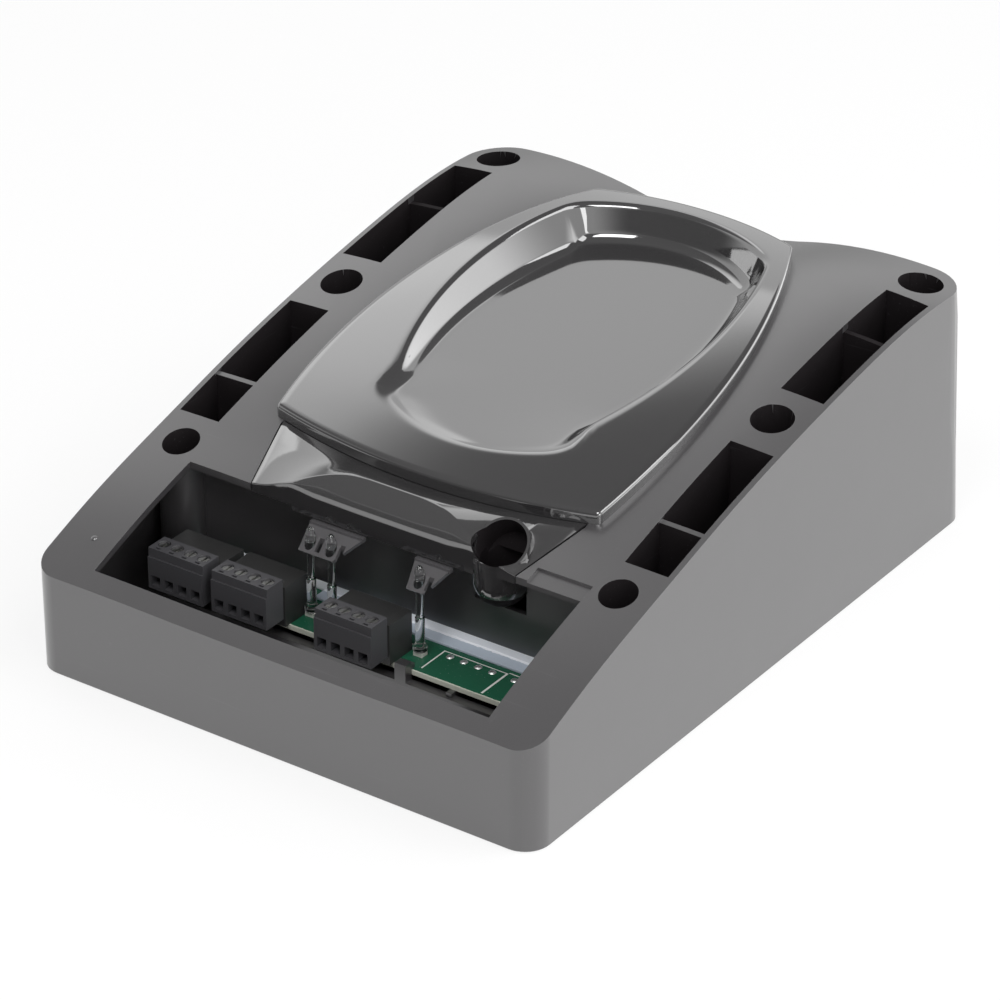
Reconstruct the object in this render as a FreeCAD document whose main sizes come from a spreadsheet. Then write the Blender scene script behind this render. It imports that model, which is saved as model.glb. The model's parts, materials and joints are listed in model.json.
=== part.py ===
import FreeCAD, Part

import math
import os
import re

import Sketcher
from FreeCAD import Placement, Rotation, Vector

# Reflected beam smoke detector, wall unit with its trim cover taken off.
# It lies on its back face: X is the width, Y the length from the thin wiring end (-Y) to the thick
# lens end (+Y), and Z points away from the wall. The origin is the centre of the back face.
# All sizes are in millimetres and live in the sheet called Sizes.

doc = FreeCAD.newDocument("BeamDetector")

# Driving sizes

SIZES = {
    # moulded chassis
    "body_length": 246.0,
    "body_width": 184.5,
    "corner_radius": 8.5,
    "side_wall": 2.0,
    "top_skin": 2.4,
    # the thick end leans in and its corners grow rounder towards the top
    "end_lean": 4.0,
    "end_corner_radius": 13.5,
    # height of the long top edge at six places along the length
    "height_thin_end": 33.4,
    "height_bay": 45.9,
    "height_apron": 56.2,
    "height_waist": 65.7,
    "height_lens": 79.9,
    "height_top": 85.4,
    "height_thick_end": 83.6,
    "place_bay": -92.0,
    "place_apron": -58.0,
    "place_waist": -24.0,
    "place_lens": 44.0,
    "place_top": 102.0,
    # saddle of the top face: shoulders beside the lens cover and a trough under it
    "shoulder_inset": 25.25,
    "shoulder_rise": 1.9,
    "trough_depth": 6.0,
    "saddle_start": -55.0,
    "trough_start": -20.0,
    # wiring bay; the edge is its distance from the outside
    "bay_edge": 19.85,
    "bay_front": -116.3,
    "bay_back": -69.5,
    "divider_front": -61.0,
    "divider_wall": 2.0,
    # side slots that take the hooks of the trim cover
    "slot_width": 15.15,
    "slot_outer_wall": 1.9,
    "near_slot_start": -51.7,
    "near_slot_end": 5.0,
    "near_rib": -32.4,
    "far_slot_start": 32.9,
    "far_slot_end": 94.8,
    "far_rib": 70.2,
    "slot_wall": 1.6,
    "slot_floor": 10.0,
    "near_rib_depth": 0.9,
    "far_rib_depth": 2.3,
    # round wells for the housing screws, which widen towards the mouth
    "well_edge": 11.45,
    "well_floor_radius": 4.15,
    "well_taper": 0.0413,
    "well_wall": 1.4,
    "well_floor": 12.0,
    "well_floor_thickness": 3.0,
    "near_well": -63.3,
    "middle_well": 19.4,
    "far_well": 106.3,
    "housing_screw_radius": 2.0,
    "housing_screw_head_radius": 3.6,
    "housing_screw_head": 2.4,
    # lens cover
    "lens_near_half": 60.0,
    "lens_near": -42.2,
    "lens_near_bulge": 7.3,
    "lens_far_half": 37.5,
    "lens_far": 100.0,
    "lens_far_bulge": 7.0,
    "lens_side_bulge": 12.3,
    "lens_lift": 4.0,
    "lens_crown": 0.8,
    "lens_wall": 2.4,
    "lens_ledge": 4.0,
    "lens_edge_round": 1.2,
    "lens_locating_rim": 3.0,
    "seat_gap": 0.1,
    "fit_gap": 0.3,
    # tray in the lens cover, through which the beam passes
    "tray_near_half": 40.0,
    "tray_near": -20.0,
    "tray_near_bulge": 14.0,
    "tray_far_half": 33.5,
    "tray_far": 87.0,
    "tray_far_bulge": 10.5,
    "tray_side_bulge": 9.5,
    "tray_floor_near": 69.2,
    "tray_floor_slope": 0.062,
    "tray_wall": 2.2,
    "tray_near_round": 16.0,
    "tray_far_round": 10.0,
    # apron between the lens cover and the wiring bay
    "apron_half_width": 48.7,
    "apron_top_half": 56.5,
    "apron_top": -44.5,
    "apron_crest_height": 61.4,
    "apron_crest": -59.5,
    "apron_lip_height": 48.4,
    "apron_wall": 2.2,
    "sight_hole_x": 37.6,
    "sight_hole_y": -61.0,
    "sight_hole_radius": 7.5,
    "sight_ring": 0.8,
    "sight_tube_wall": 1.6,
    "sight_hole_height": 56.8,
    "sight_tube_bottom": 36.0,
    "reset_tab_inner": 53.0,
    "reset_tab_depth": 5.6,
    "reset_tab_drop": 0.9,
    # back plate
    "plate_thickness": 3.0,
    "plate_screw_x": 62.0,
    "plate_screw_y": 100.0,
    "plate_screw_radius": 2.6,
    "cable_hole_half_width": 32.0,
    "cable_hole_front": -111.0,
    "cable_hole_back": -93.0,
    "post_radius": 3.6,
    # main board
    "board_top": 18.0,
    "board_thickness": 1.6,
    "board_edge": 1.4,
    "board_front": -83.0,
    "board_back": -45.0,
    "board_post_inset": 9.0,
    "board_post_y": -52.0,
    "gasket_height": 3.4,
    "gasket_depth": 2.0,
    # terminals
    "pitch": 5.08,
    "ways": 4.0,
    "plug_margin": 0.35,
    "plug_top": 34.5,
    "plug_height": 13.8,
    "plug_front": -93.4,
    "plug_back": -85.0,
    "plug_ledge": 3.0,
    "plug_step": 0.6,
    "header_back": -73.4,
    "header_height": 13.6,
    "header_wall": 1.0,
    "plug_tongue": 7.4,
    "slide_clearance": 0.3,
    "terminal_1_edge": 12.1,
    "terminal_2_step": 24.4,
    "terminal_3_step": 38.9,
    "terminal_screw_radius": 1.9,
    "terminal_screw_length": 3.0,
    "wire_entry": 3.4,
    "pin_radius": 0.5,
    # light pipes, status lamps and their brackets
    "pipe_y": -74.5,
    "fault_step": 13.2,
    "alarm_step": 7.8,
    "normal_step": 14.8,
    "pipe_radius": 1.5,
    "pipe_foot_radius": 2.2,
    "pipe_neck_radius": 1.15,
    "pipe_foot": 20.6,
    "pipe_shoulder": 31.0,
    "pipe_tip": 48.6,
    "bracket_thickness": 1.4,
    # reset switch, level switch and gain control
    "reset_edge": 8.4,
    "reset_y": -76.0,
    "reset_travel": 0.6,
    "dip_step": 6.3,
    "dip_y": -68.0,
    "dip_pitch": 2.54,
    "gain_step": 1.9,
    "gain_y": -68.0,
    # optics on two crossed pivots
    "pivot_y": 33.0,
    "pivot_height": 34.0,
    "block_half_width": 27.0,
    "block_half_length": 52.0,
    "block_bottom": 19.0,
    "block_top": 51.0,
    "block_wall": 2.5,
    "lens_radius": 23.0,
    "lens_spacing": 50.0,
    "lens_thickness": 6.0,
    "frame_inner_half_width": 31.0,
    "frame_inner_half_length": 57.0,
    "frame_bar": 6.0,
    "frame_height": 9.0,
    "pivot_radius": 2.0,
    "pivot_clearance": 0.06,
    "pivot_length": 11.0,
    "post_gap": 1.0,
    "post_thickness": 5.0,
    "mirror_x": 17.5,
    "mirror_width": 9.0,
    "mirror_rise": 3.8,
    "mirror_thickness": 0.9,
    # thumbwheels that swing the optics
    "pan_wheel_teeth": 16.0,
    "pan_wheel_radius": 12.0,
    "pan_rim_radius": 17.2,
    "pan_rim_reach": 2.0,
    "gear_width": 4.0,
    "rim_width": 6.0,
    "pan_gear_y": 48.0,
    "tilt_wheel_teeth": 12.0,
    "tilt_wheel_radius": 6.0,
    "tilt_sector_radius": 20.0,
    "tilt_rim_radius": 8.0,
    "tilt_rim_reach": 4.0,
    "shaft_radius": 1.6,
}

# Places that follow from the driving sizes

DERIVED = {
    "slot_outer": "body_width / 2 - slot_outer_wall",
    "slot_inner": "slot_outer - slot_width",
    "well_centre": "body_width / 2 - well_edge",
    "bay_half_width": "body_width / 2 - bay_edge",
    "board_half_width": "bay_half_width - board_edge",
    "board_post_x": "board_half_width - board_post_inset",
    "terminal_1": "-bay_half_width + terminal_1_edge",
    "terminal_2": "terminal_1 + terminal_2_step",
    "terminal_3": "terminal_2 + terminal_3_step",
    "pipe_fault": "terminal_2 + fault_step",
    "pipe_alarm": "pipe_fault + alarm_step",
    "pipe_normal": "terminal_3 + normal_step",
    "reset_x": "bay_half_width - reset_edge",
    "dip_x": "terminal_1 + dip_step",
    "gain_x": "terminal_2 + gain_step",
    "pan_wheel_x": "-(slot_inner + pan_rim_reach - pan_rim_radius)",
}
ALL_SIZES = {**SIZES, **{alias: f"={text}" for alias, text in DERIVED.items()}}

sheet = doc.addObject("Spreadsheet::Sheet", "Sizes")
for row, (alias, value) in enumerate(ALL_SIZES.items(), start=1):
    sheet.set(f"A{row}", alias)
    sheet.set(f"B{row}", str(value))
    sheet.setAlias(f"B{row}", alias)
doc.recompute()

nodes = []


# Small helpers that tie each feature to the sheet

def tie(text):
    """Point every size named in an expression at the sheet."""
    return re.sub(r"[a-z][a-z0-9_]*",
                  lambda word: "Sizes." + word.group(0) if word.group(0) in ALL_SIZES else word.group(0), text)


def number(text):
    """The present value of an expression, for starting geometry and for free-form faces."""
    return float(sheet.evalExpression(tie(text)))


def keep(piece):
    """Mark a finished sub-part: its label names its node."""
    nodes.append(piece)
    return piece


def box(label, low_x, high_x, low_y, high_y, low_z, high_z):
    piece = doc.addObject("Part::Box", label)
    for side, low, high in (("Length", low_x, high_x), ("Width", low_y, high_y), ("Height", low_z, high_z)):
        piece.setExpression(side, tie(f"({high}) - ({low})"))
    for axis, low in (("x", low_x), ("y", low_y), ("z", low_z)):
        piece.setExpression(f"Placement.Base.{axis}", tie(low))
    return piece


TURNS = {
    "X": Rotation(Vector(0, 1, 0), 90),
    "Y": Rotation(Vector(1, 0, 0), -90),
    "Z": Rotation(),
}


def rod(label, x, y, z, radius, length, axis="Z"):
    piece = doc.addObject("Part::Cylinder", label)
    piece.Placement = Placement(Vector(), TURNS[axis])
    piece.setExpression("Radius", tie(radius))
    piece.setExpression("Height", tie(length))
    for name, place in (("x", x), ("y", y), ("z", z)):
        piece.setExpression(f"Placement.Base.{name}", tie(place))
    return piece


def cone(label, x, y, z, low_radius, high_radius, length):
    """An upright round bar that widens from its foot to its top."""
    piece = doc.addObject("Part::Cone", label)
    piece.setExpression("Radius1", tie(low_radius))
    piece.setExpression("Radius2", tie(high_radius))
    piece.setExpression("Height", tie(length))
    for name, place in (("x", x), ("y", y), ("z", z)):
        piece.setExpression(f"Placement.Base.{name}", tie(place))
    return piece


def fuse(label, *pieces):
    result = doc.addObject("Part::MultiFuse", label)
    result.Shapes = list(pieces)
    return result


def cut(label, base, *tools):
    result = doc.addObject("Part::Cut", label)
    result.Base = base
    result.Tool = tools[0] if len(tools) == 1 else fuse(f"{label}_tools", *tools)
    return result


def common(label, base, tool):
    result = doc.addObject("Part::Common", label)
    result.Base = base
    result.Tool = tool
    return result


def group(label, pieces):
    """Identical loose pieces that share one node."""
    result = doc.addObject("Part::Compound", label)
    result.Links = list(pieces)
    return result


def new_body(label):
    return doc.addObject("PartDesign::Body", label)


def new_sketch(body, name, role="XY_Plane", offset="0"):
    plane = [item for item in body.Origin.OriginFeatures if item.Role == role][0]
    sketch = body.newObject("Sketcher::SketchObject", name)
    sketch.AttachmentSupport = [(plane, "")]
    sketch.MapMode = "FlatFace"
    sketch.setExpression("AttachmentOffset.Base.z", tie(offset))
    return sketch


def pin_point(sketch, curve, end, x, y):
    """Hold one end of a curve at a place that the sheet gives."""
    for kind, text in (("DistanceX", x), ("DistanceY", y)):
        index = sketch.addConstraint(Sketcher.Constraint(kind, -1, 1, curve, end, number(text)))
        sketch.setExpression(f"Constraints[{index}]", tie(text))


def polygon(sketch, points):
    """A closed outline of straight lines through points given as pairs of expressions."""
    places = [Vector(number(x), number(y), 0) for x, y in points]
    first = sketch.GeometryCount
    count = len(points)
    for i in range(count):
        sketch.addGeometry(Part.LineSegment(places[i], places[(i + 1) % count]))
    for i in range(count):
        sketch.addConstraint(Sketcher.Constraint("Coincident", first + i, 2, first + (i + 1) % count, 1))
        pin_point(sketch, first + i, 1, *points[i])


def rectangle(sketch, low_x, high_x, low_y, high_y):
    polygon(sketch, [(low_x, low_y), (high_x, low_y), (high_x, high_y), (low_x, high_y)])


def circle(sketch, x, y, radius):
    index = sketch.addGeometry(Part.Circle(Vector(number(x), number(y), 0), Vector(0, 0, 1), number(radius)))
    pin_point(sketch, index, 3, x, y)
    bound = sketch.addConstraint(Sketcher.Constraint("Radius", index, number(radius)))
    sketch.setExpression(f"Constraints[{bound}]", tie(radius))


def pad(body, sketch, length, name="Pad"):
    feature = body.newObject("PartDesign::Pad", name)
    feature.Profile = sketch
    feature.setExpression("Length", tie(length))
    body.Tip = feature
    return feature


def pocket(body, sketch, length, name="Pocket", backwards=False):
    feature = body.newObject("PartDesign::Pocket", name)
    feature.Profile = sketch
    feature.setExpression("Length", tie(length))
    feature.Reversed = backwards
    body.Tip = feature
    return feature


def repeat(body, feature, sketch, span, count, name="Row"):
    """Repeat a feature along the sketch's own horizontal."""
    row = body.newObject("PartDesign::LinearPattern", name)
    row.Originals = [feature]
    row.Direction = (sketch, ["H_Axis"])
    row.setExpression("Length", tie(span))
    row.setExpression("Occurrences", tie(count))
    body.Tip = row
    return row


def turned(label, points, x, y):
    """A round piece: a half outline of radius and height pairs, turned about its upright axis."""
    body = new_body(label)
    sketch = new_sketch(body, f"{label}_outline", "XZ_Plane")
    polygon(sketch, points)
    feature = body.newObject("PartDesign::Revolution", f"{label}_turn")
    feature.Profile = sketch
    feature.ReferenceAxis = (sketch, ["V_Axis"])
    feature.Angle = 360.0
    body.Tip = feature
    body.setExpression("Placement.Base.x", tie(x))
    body.setExpression("Placement.Base.y", tie(y))
    return body


def loft(label, wires, ruled=False):
    piece = doc.addObject("Part::Feature", label)
    piece.Shape = Part.makeLoft(wires, True, ruled)
    return piece


# The saddle-shaped top face of the chassis

STATIONS = [
    ("-body_length / 2 - 1", "height_thin_end"),
    ("place_bay", "height_bay"),
    ("place_apron", "height_apron"),
    ("place_waist", "height_waist"),
    ("place_lens", "height_lens"),
    ("place_top", "height_top"),
    ("body_length / 2 + 1", "height_thick_end"),
]
FORM_FLOOR = -20.0
FORM_MARGIN = 3.0
LEAST_RISE = 0.25


def grown(y, start, full):
    """A share that grows steadily from nothing at start to the full value at the thick end."""
    span = number("body_length / 2") - number(start)
    return max(number(full) * (y - number(start)) / span, 0.0)


def crown_wire(y, edge, drop):
    """A cross section of the body below the top face: two shoulders and a trough, in tangent arcs."""
    half = number("body_width / 2")
    shoulder_x = half - number("shoulder_inset")
    rise = grown(y, "saddle_start", "shoulder_rise") + LEAST_RISE
    fall = rise + grown(y, "trough_start", "trough_depth") + LEAST_RISE
    shoulder_radius = (number("shoulder_inset") ** 2 + rise ** 2) / (2 * rise)
    trough_radius = (shoulder_x ** 2 + fall ** 2) / (2 * fall) - shoulder_radius
    peak = edge + rise - drop
    meet = shoulder_x * trough_radius / (trough_radius + shoulder_radius)

    def shoulder(x):
        return Vector(x, y, peak - shoulder_radius + math.sqrt(shoulder_radius ** 2 - (abs(x) - shoulder_x) ** 2))

    def trough(x):
        return Vector(x, y, peak - fall + trough_radius - math.sqrt(trough_radius ** 2 - x ** 2))

    side = half + FORM_MARGIN
    left, right = Vector(-side, y, FORM_FLOOR), Vector(side, y, FORM_FLOOR)
    edges = [
        Part.LineSegment(left, shoulder(-side)),
        Part.Arc(shoulder(-side), shoulder(-shoulder_x), shoulder(-meet)),
        Part.Arc(shoulder(-meet), trough(0), shoulder(meet)),
        Part.Arc(shoulder(meet), shoulder(shoulder_x), shoulder(side)),
        Part.LineSegment(shoulder(side), right),
        Part.LineSegment(right, left),
    ]
    return Part.Wire([edge_curve.toShape() for edge_curve in edges])


def crown_form(label, drop):
    return loft(label, [crown_wire(number(y), number(edge), drop) for y, edge in STATIONS])


def edge_height(y):
    """Height of the long top edge at any place, read between the stations."""
    places = [(number(place), number(edge)) for place, edge in STATIONS]
    for (low_y, low_z), (high_y, high_z) in zip(places, places[1:]):
        if y <= high_y:
            return low_z + (high_z - low_z) * (y - low_y) / (high_y - low_y)
    return places[-1][1]


def dome_wire(y, edge, drop):
    """A cross section of the body below the top face of the lens cover, slightly crowned."""
    side = number("lens_near_half") + 4 * FORM_MARGIN
    low, high = edge - drop, edge - drop + number("lens_crown")
    left, right = Vector(-side, y, FORM_FLOOR), Vector(side, y, FORM_FLOOR)
    edges = [
        Part.LineSegment(left, Vector(-side, y, low)),
        Part.Arc(Vector(-side, y, low), Vector(0, y, high), Vector(side, y, low)),
        Part.LineSegment(Vector(side, y, low), right),
        Part.LineSegment(right, left),
    ]
    return Part.Wire([edge_curve.toShape() for edge_curve in edges])


def dome_form(label, drop):
    lift = number("lens_lift")
    return loft(label, [dome_wire(number(y), number(edge) + lift, drop) for y, edge in STATIONS])


def round_rectangle(sketch, half_x, near_y, far_y, near_radius, far_radius):
    """A rectangle with four round corners, whose near and far pairs have their own radius."""
    corners = [
        (f"({half_x}) - ({near_radius})", f"({near_y}) + ({near_radius})", near_radius),
        (f"({half_x}) - ({far_radius})", f"({far_y}) - ({far_radius})", far_radius),
        (f"({far_radius}) - ({half_x})", f"({far_y}) - ({far_radius})", far_radius),
        (f"({near_radius}) - ({half_x})", f"({near_y}) + ({near_radius})", near_radius),
    ]
    quarter = math.pi / 2
    arcs = []
    for i, (x, y, radius) in enumerate(corners):
        round_corner = Part.Circle(Vector(number(x), number(y), 0), Vector(0, 0, 1), number(radius))
        arcs.append(Part.ArcOfCircle(round_corner, (i - 1) * quarter, i * quarter))
    for arc in arcs:
        sketch.addGeometry(arc)
    for i in range(4):
        sketch.addGeometry(Part.LineSegment(arcs[i].EndPoint, arcs[(i + 1) % 4].StartPoint))
        sketch.addConstraint(Sketcher.Constraint("Tangent", i, 2, 4 + i, 1))
        sketch.addConstraint(Sketcher.Constraint("Tangent", 4 + i, 2, (i + 1) % 4, 1))
    for i, (x, y, radius) in enumerate(corners):
        pin_point(sketch, i, 3, x, y)
        bound = sketch.addConstraint(Sketcher.Constraint("Radius", i, number(radius)))
        sketch.setExpression(f"Constraints[{bound}]", tie(radius))


def rounded_block(label, half_x, half_y, radius, low, high):
    """An upright block with four round corners."""
    body = new_body(label)
    sketch = new_sketch(body, f"{label}_outline", "XY_Plane", low)
    round_rectangle(sketch, half_x, f"-({half_y})", half_y, radius, radius)
    pad(body, sketch, f"({high}) - ({low})", f"{label}_pad")
    return body


def body_block(label, inset, low, high):
    """The body's outline inside its walls: upright but for the thick end, which leans in as it rises."""
    body = new_body(label)
    outlines = []
    for name, level in (("foot", low), ("head", high)):
        sketch = new_sketch(body, f"{label}_{name}", "XY_Plane", level)
        share = f"(({level}) / height_thick_end)"
        round_rectangle(sketch, f"body_width / 2 - {inset}", f"-(body_length / 2 - {inset})",
                        f"body_length / 2 - {inset} - end_lean * {share}", f"corner_radius - {inset}",
                        f"corner_radius - {inset} + (end_corner_radius - corner_radius) * {share}")
        outlines.append(sketch)
    feature = body.newObject("PartDesign::AdditiveLoft", f"{label}_loft")
    feature.Profile = outlines[0]
    feature.Sections = outlines[1:]
    feature.Ruled = True
    body.Tip = feature
    return body


def round_edges(body, feature, pick, radius, name):
    """Round those edges of a feature that a test on each edge picks."""
    doc.recompute()
    picked = [f"Edge{i}" for i, edge in enumerate(feature.Shape.Edges, start=1) if pick(edge)]
    rounded = body.newObject("PartDesign::Fillet", name)
    rounded.Base = (feature, picked)
    rounded.setExpression("Radius", tie(radius))
    body.Tip = rounded
    return rounded


def upright(edge):
    """True for an edge that runs straight up."""
    start, end = edge.Vertexes[0].Point, edge.Vertexes[-1].Point
    return abs(start.x - end.x) < 1e-4 and abs(start.y - end.y) < 1e-4 and abs(start.z - end.z) > 1.0


def shield_block(label, name, inset, low, high, near_round="0", far_round="0"):
    """An upright block on a shield outline of four arcs; name is the prefix of its sizes."""
    near_x, near_y = f"({name}_near_half - ({inset}))", f"({name}_near + ({inset}))"
    far_x, far_y = f"({name}_far_half - ({inset}))", f"({name}_far - ({inset}))"
    chords = [f"(2 * {near_x})", f"sqrt(({near_x} - {far_x})^2 + ({far_y} - {near_y})^2)", f"(2 * {far_x})"]
    chords.append(chords[1])
    bulges = [f"{name}_near_bulge", f"{name}_side_bulge", f"{name}_far_bulge", f"{name}_side_bulge"]
    corners = [(f"-{near_x}", near_y), (near_x, near_y), (far_x, far_y), (f"-{far_x}", far_y)]
    body = new_body(label)
    sketch = new_sketch(body, f"{label}_outline", "XY_Plane", low)
    places = [Vector(number(x), number(y), 0) for x, y in corners]
    for i in range(4):
        start, end = places[i], places[(i + 1) % 4]
        outward = (end - start).cross(Vector(0, 0, 1)).normalize()
        middle = (start + end) * 0.5 + outward * number(bulges[i])
        sketch.addGeometry(Part.Arc(start, middle, end))
    for i in range(4):
        sketch.addConstraint(Sketcher.Constraint("Coincident", i, 2, (i + 1) % 4, 1))
        pin_point(sketch, i, 1, *corners[i])
        radius = f"(({chords[i]} / 2)^2 + {bulges[i]}^2) / (2 * {bulges[i]})"
        bound = sketch.addConstraint(Sketcher.Constraint("Radius", i, number(radius)))
        sketch.setExpression(f"Constraints[{bound}]", tie(radius))
    feature = pad(body, sketch, f"({high}) - ({low})", f"{label}_pad")
    split = number(f"({name}_near + {name}_far) / 2")
    if number(near_round) > 0:
        feature = round_edges(body, feature, lambda edge: upright(edge) and edge.Vertexes[0].Y < split,
                              near_round, f"{label}_near_round")
    if number(far_round) > 0:
        round_edges(body, feature, lambda edge: upright(edge) and edge.Vertexes[0].Y > split,
                    far_round, f"{label}_far_round")
    return body


# Chassis: one moulding with the skin, the wells, the slots and the bay divider

HIGH = "height_top + 20"


def well_places():
    return [(f"{side}well_centre", place) for place in ("near_well", "middle_well", "far_well") for side in ("-", "")]


def slot_places():
    """Low and high X and Y of each of the eight pockets: four slots, each split by a rib."""
    rib = "slot_wall / 2"
    rows = [
        ("near_slot_start", f"near_rib - {rib}"),
        (f"near_rib + {rib}", "near_slot_end"),
        ("far_slot_start", f"far_rib - {rib}"),
        (f"far_rib + {rib}", "far_slot_end"),
    ]
    places = []
    for start, end in rows:
        places.append(("-slot_outer", "-slot_inner", start, end))
        places.append(("slot_inner", "slot_outer", start, end))
    return places


def well_width(height):
    """Radius of a screw well at a height; the moulding draft opens it towards the top."""
    return f"(well_floor_radius + well_taper * (({height}) - well_floor))"


def make_chassis():
    above = "height_top + 10"
    outer = common("outer_form", body_block("outer_block", "0", "0", above), crown_form("crown_outer", 0.0))
    cavity = common("cavity", body_block("inner_block", "side_wall", "-1", above),
                    crown_form("crown_inner", number("top_skin")))
    shell = cut("shell", outer, cavity)

    ribs = []
    for start, end in (("near_slot_start", "near_slot_end"), ("far_slot_start", "far_slot_end")):
        for side in (-1, 1):
            inner, edge = "slot_inner - slot_wall", "body_width / 2 - side_wall / 2"
            low, high = (inner, edge) if side > 0 else (f"-({edge})", f"-({inner})")
            ribs.append(box(f"slot_case_{len(ribs)}", low, high, f"{start} - slot_wall", f"{end} + slot_wall",
                            "slot_floor - slot_wall", above))
    for x, y in well_places():
        foot = "(well_floor - well_floor_thickness)"
        ribs.append(cone(f"well_tube_{len(ribs)}", x, y, foot, f"{well_width(foot)} + well_wall",
                         f"{well_width(above)} + well_wall", f"{above} - {foot}"))
    wall = "body_width / 2 - side_wall / 2"
    ribs.append(box("divider", f"-({wall})", wall, "divider_front", "divider_front + divider_wall",
                    "board_top + gasket_height", above))
    inside = common("inside_walls", fuse("inside_parts", *ribs), outer)

    bay = box("bay_cut", "-bay_half_width", "bay_half_width", "bay_front", "bay_back", "15", above)
    window = shield_block("window_cut", "lens", "lens_ledge", "30", above)
    apron_body = new_body("apron_gap")
    apron_sketch = new_sketch(apron_body, "apron_gap_outline", "XY_Plane", "20")
    rear = "lens_near + lens_ledge + 1"
    polygon(apron_sketch, [("-apron_half_width", "bay_back - 1"), ("apron_half_width", "bay_back - 1"),
                           ("apron_top_half", "apron_top"), ("lens_near_half - lens_ledge", rear),
                           ("-(lens_near_half - lens_ledge)", rear), ("-apron_top_half", "apron_top")])
    pad(apron_body, apron_sketch, "80", "apron_gap_pad")
    apron_cut = cut("apron_cut", apron_body, crown_form("crown_under_apron", number("top_skin + 0.6")))

    tube = "sight_hole_radius + sight_tube_wall + fit_gap"
    cuts = [bay, window, apron_cut]
    cuts.append(box("divider_relief", "-(apron_half_width + 1)", "apron_half_width + 1", "divider_front - 1",
                    "divider_front + divider_wall + 1", "apron_lip_height + 2", above))
    cuts.append(rod("divider_tube_gap", "sight_hole_x", "sight_hole_y", "sight_tube_bottom - 1", tube, "40"))
    for rib in ("near_rib", "far_rib"):
        low_crown = crown_form(f"crown_over_{rib}", number(f"{rib}_depth"))
        for low, high in (("-slot_outer", "-slot_inner"), ("slot_inner", "slot_outer")):
            cuts.append(cut(f"rib_notch_{len(cuts)}", box(f"rib_top_{len(cuts)}", low, high, f"{rib} - slot_wall",
                            f"{rib} + slot_wall", "40", above), low_crown))
    for low_x, high_x, low_y, high_y in slot_places():
        cuts.append(box(f"slot_pocket_{len(cuts)}", low_x, high_x, low_y, high_y, "slot_floor", above))
    for x, y in well_places():
        cuts.append(cone(f"well_bore_{len(cuts)}", x, y, "well_floor", "well_floor_radius", well_width(above),
                         f"{above} - well_floor"))
        cuts.append(rod(f"screw_hole_{len(cuts)}", x, y, "0", "housing_screw_radius + fit_gap", above))
    cuts.append(box("reset_recess", "reset_tab_inner", "bay_half_width", "bay_back - 1",
                    "bay_back + reset_tab_depth", "height_apron - 2.2", above))
    cuts.append(box("tilt_wheel_window", "slot_inner - slot_wall - 1", "slot_inner + 1",
                    "pivot_y + tilt_sector_radius + tilt_wheel_radius - tilt_rim_radius - 1",
                    "pivot_y + tilt_sector_radius + tilt_wheel_radius + tilt_rim_radius + 1",
                    "slot_floor", "2 * pivot_height - slot_floor"))
    cuts.append(box("pan_wheel_window", "-slot_inner - 1", "-(slot_inner - slot_wall) + 1",
                    "pan_gear_y + gear_width - 1", "pan_gear_y + gear_width + rim_width + 1",
                    "pivot_height - 14", "pivot_height + 14"))
    keep(cut("chassis", fuse("chassis_solid", shell, inside), *cuts))
    return outer


def rounded_top(base, radius, label):
    """Round the upper rim of a block with upright sides."""
    doc.recompute()
    size = base.Shape.BoundBox
    rim = []
    for i, edge in enumerate(base.Shape.Edges, start=1):
        points = edge.discretize(5)
        if min(point.z for point in points) > size.ZMin + 5:
            rim.append((i, number(radius), number(radius)))
    result = doc.addObject("Part::Fillet", label)
    result.Base = base
    result.Edges = rim
    return result


def make_lens_cover():
    low = "40"
    shell = cut(
        "lens_shell",
        rounded_top(common("lens_outer", shield_block("lens_block", "lens", "0", low, HIGH, "2", "3"),
                           dome_form("dome_outer", 0.0)), "lens_edge_round", "lens_rounded"),
        common("lens_inner", shield_block("lens_hollow", "lens", "lens_wall", "39", HIGH),
               dome_form("dome_inner", number("lens_wall"))),
    )
    skirt = cut("lens_skirt", shell, crown_form("crown_under_lens", -number("seat_gap")))
    rim_block = cut("rim_ring", shield_block("rim_outer", "lens", "lens_ledge + fit_gap", low, HIGH),
                    shield_block("rim_inner", "lens", "lens_ledge + fit_gap + lens_wall", "39", HIGH))
    rim_band = common("rim_under_dome", rim_block, dome_form("dome_over_rim", number("lens_wall") / 2))
    rim = cut("locating_rim", rim_band, crown_form("crown_under_rim", number("top_skin + lens_locating_rim")))

    def slope(label, shift):
        """Everything above the tray floor, which leans with the sight line."""
        near, far = number("tray_near") - 30.0, number("tray_far") + 30.0
        tilt = number("tray_floor_slope")
        level = number("tray_floor_near") - shift
        base = level + tilt * (near - number("tray_near"))
        top = level + tilt * (far - number("tray_near"))
        sky = number(HIGH) + FORM_MARGIN
        side = number("tray_near_half + tray_side_bulge") + 4 * FORM_MARGIN
        corners = [(near, base), (far, top), (far, sky), (near, sky), (near, base)]
        face = Part.Face(Part.makePolygon([Vector(-side, y, z) for y, z in corners]))
        piece = doc.addObject("Part::Feature", label)
        piece.Shape = face.extrude(Vector(2 * side, 0, 0))
        return piece

    tray_outer = common("tray_outer", common("tray_outer_dome", shield_block("tray_wall_block", "tray",
                        "-tray_wall", low, HIGH, "tray_near_round + tray_wall", "tray_far_round + tray_wall"),
                        dome_form("dome_over_tray", number("lens_wall") / 2)),
                        slope("above_tray_floor", number("tray_wall")))
    tray_inner = common("tray_inner", shield_block("tray_block", "tray", "0", low, HIGH, "tray_near_round",
                        "tray_far_round"), slope("tray_space", 0.0))
    keep(cut("lens_cover", fuse("lens_whole", skirt, rim, tray_outer), tray_inner))


# Apron: a visor that bridges the gap between the lens cover and the wiring bay

APRON_STEPS = [1.0, 0.86, 0.72, 0.58, 0.44, 0.3, 0.15]


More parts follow.
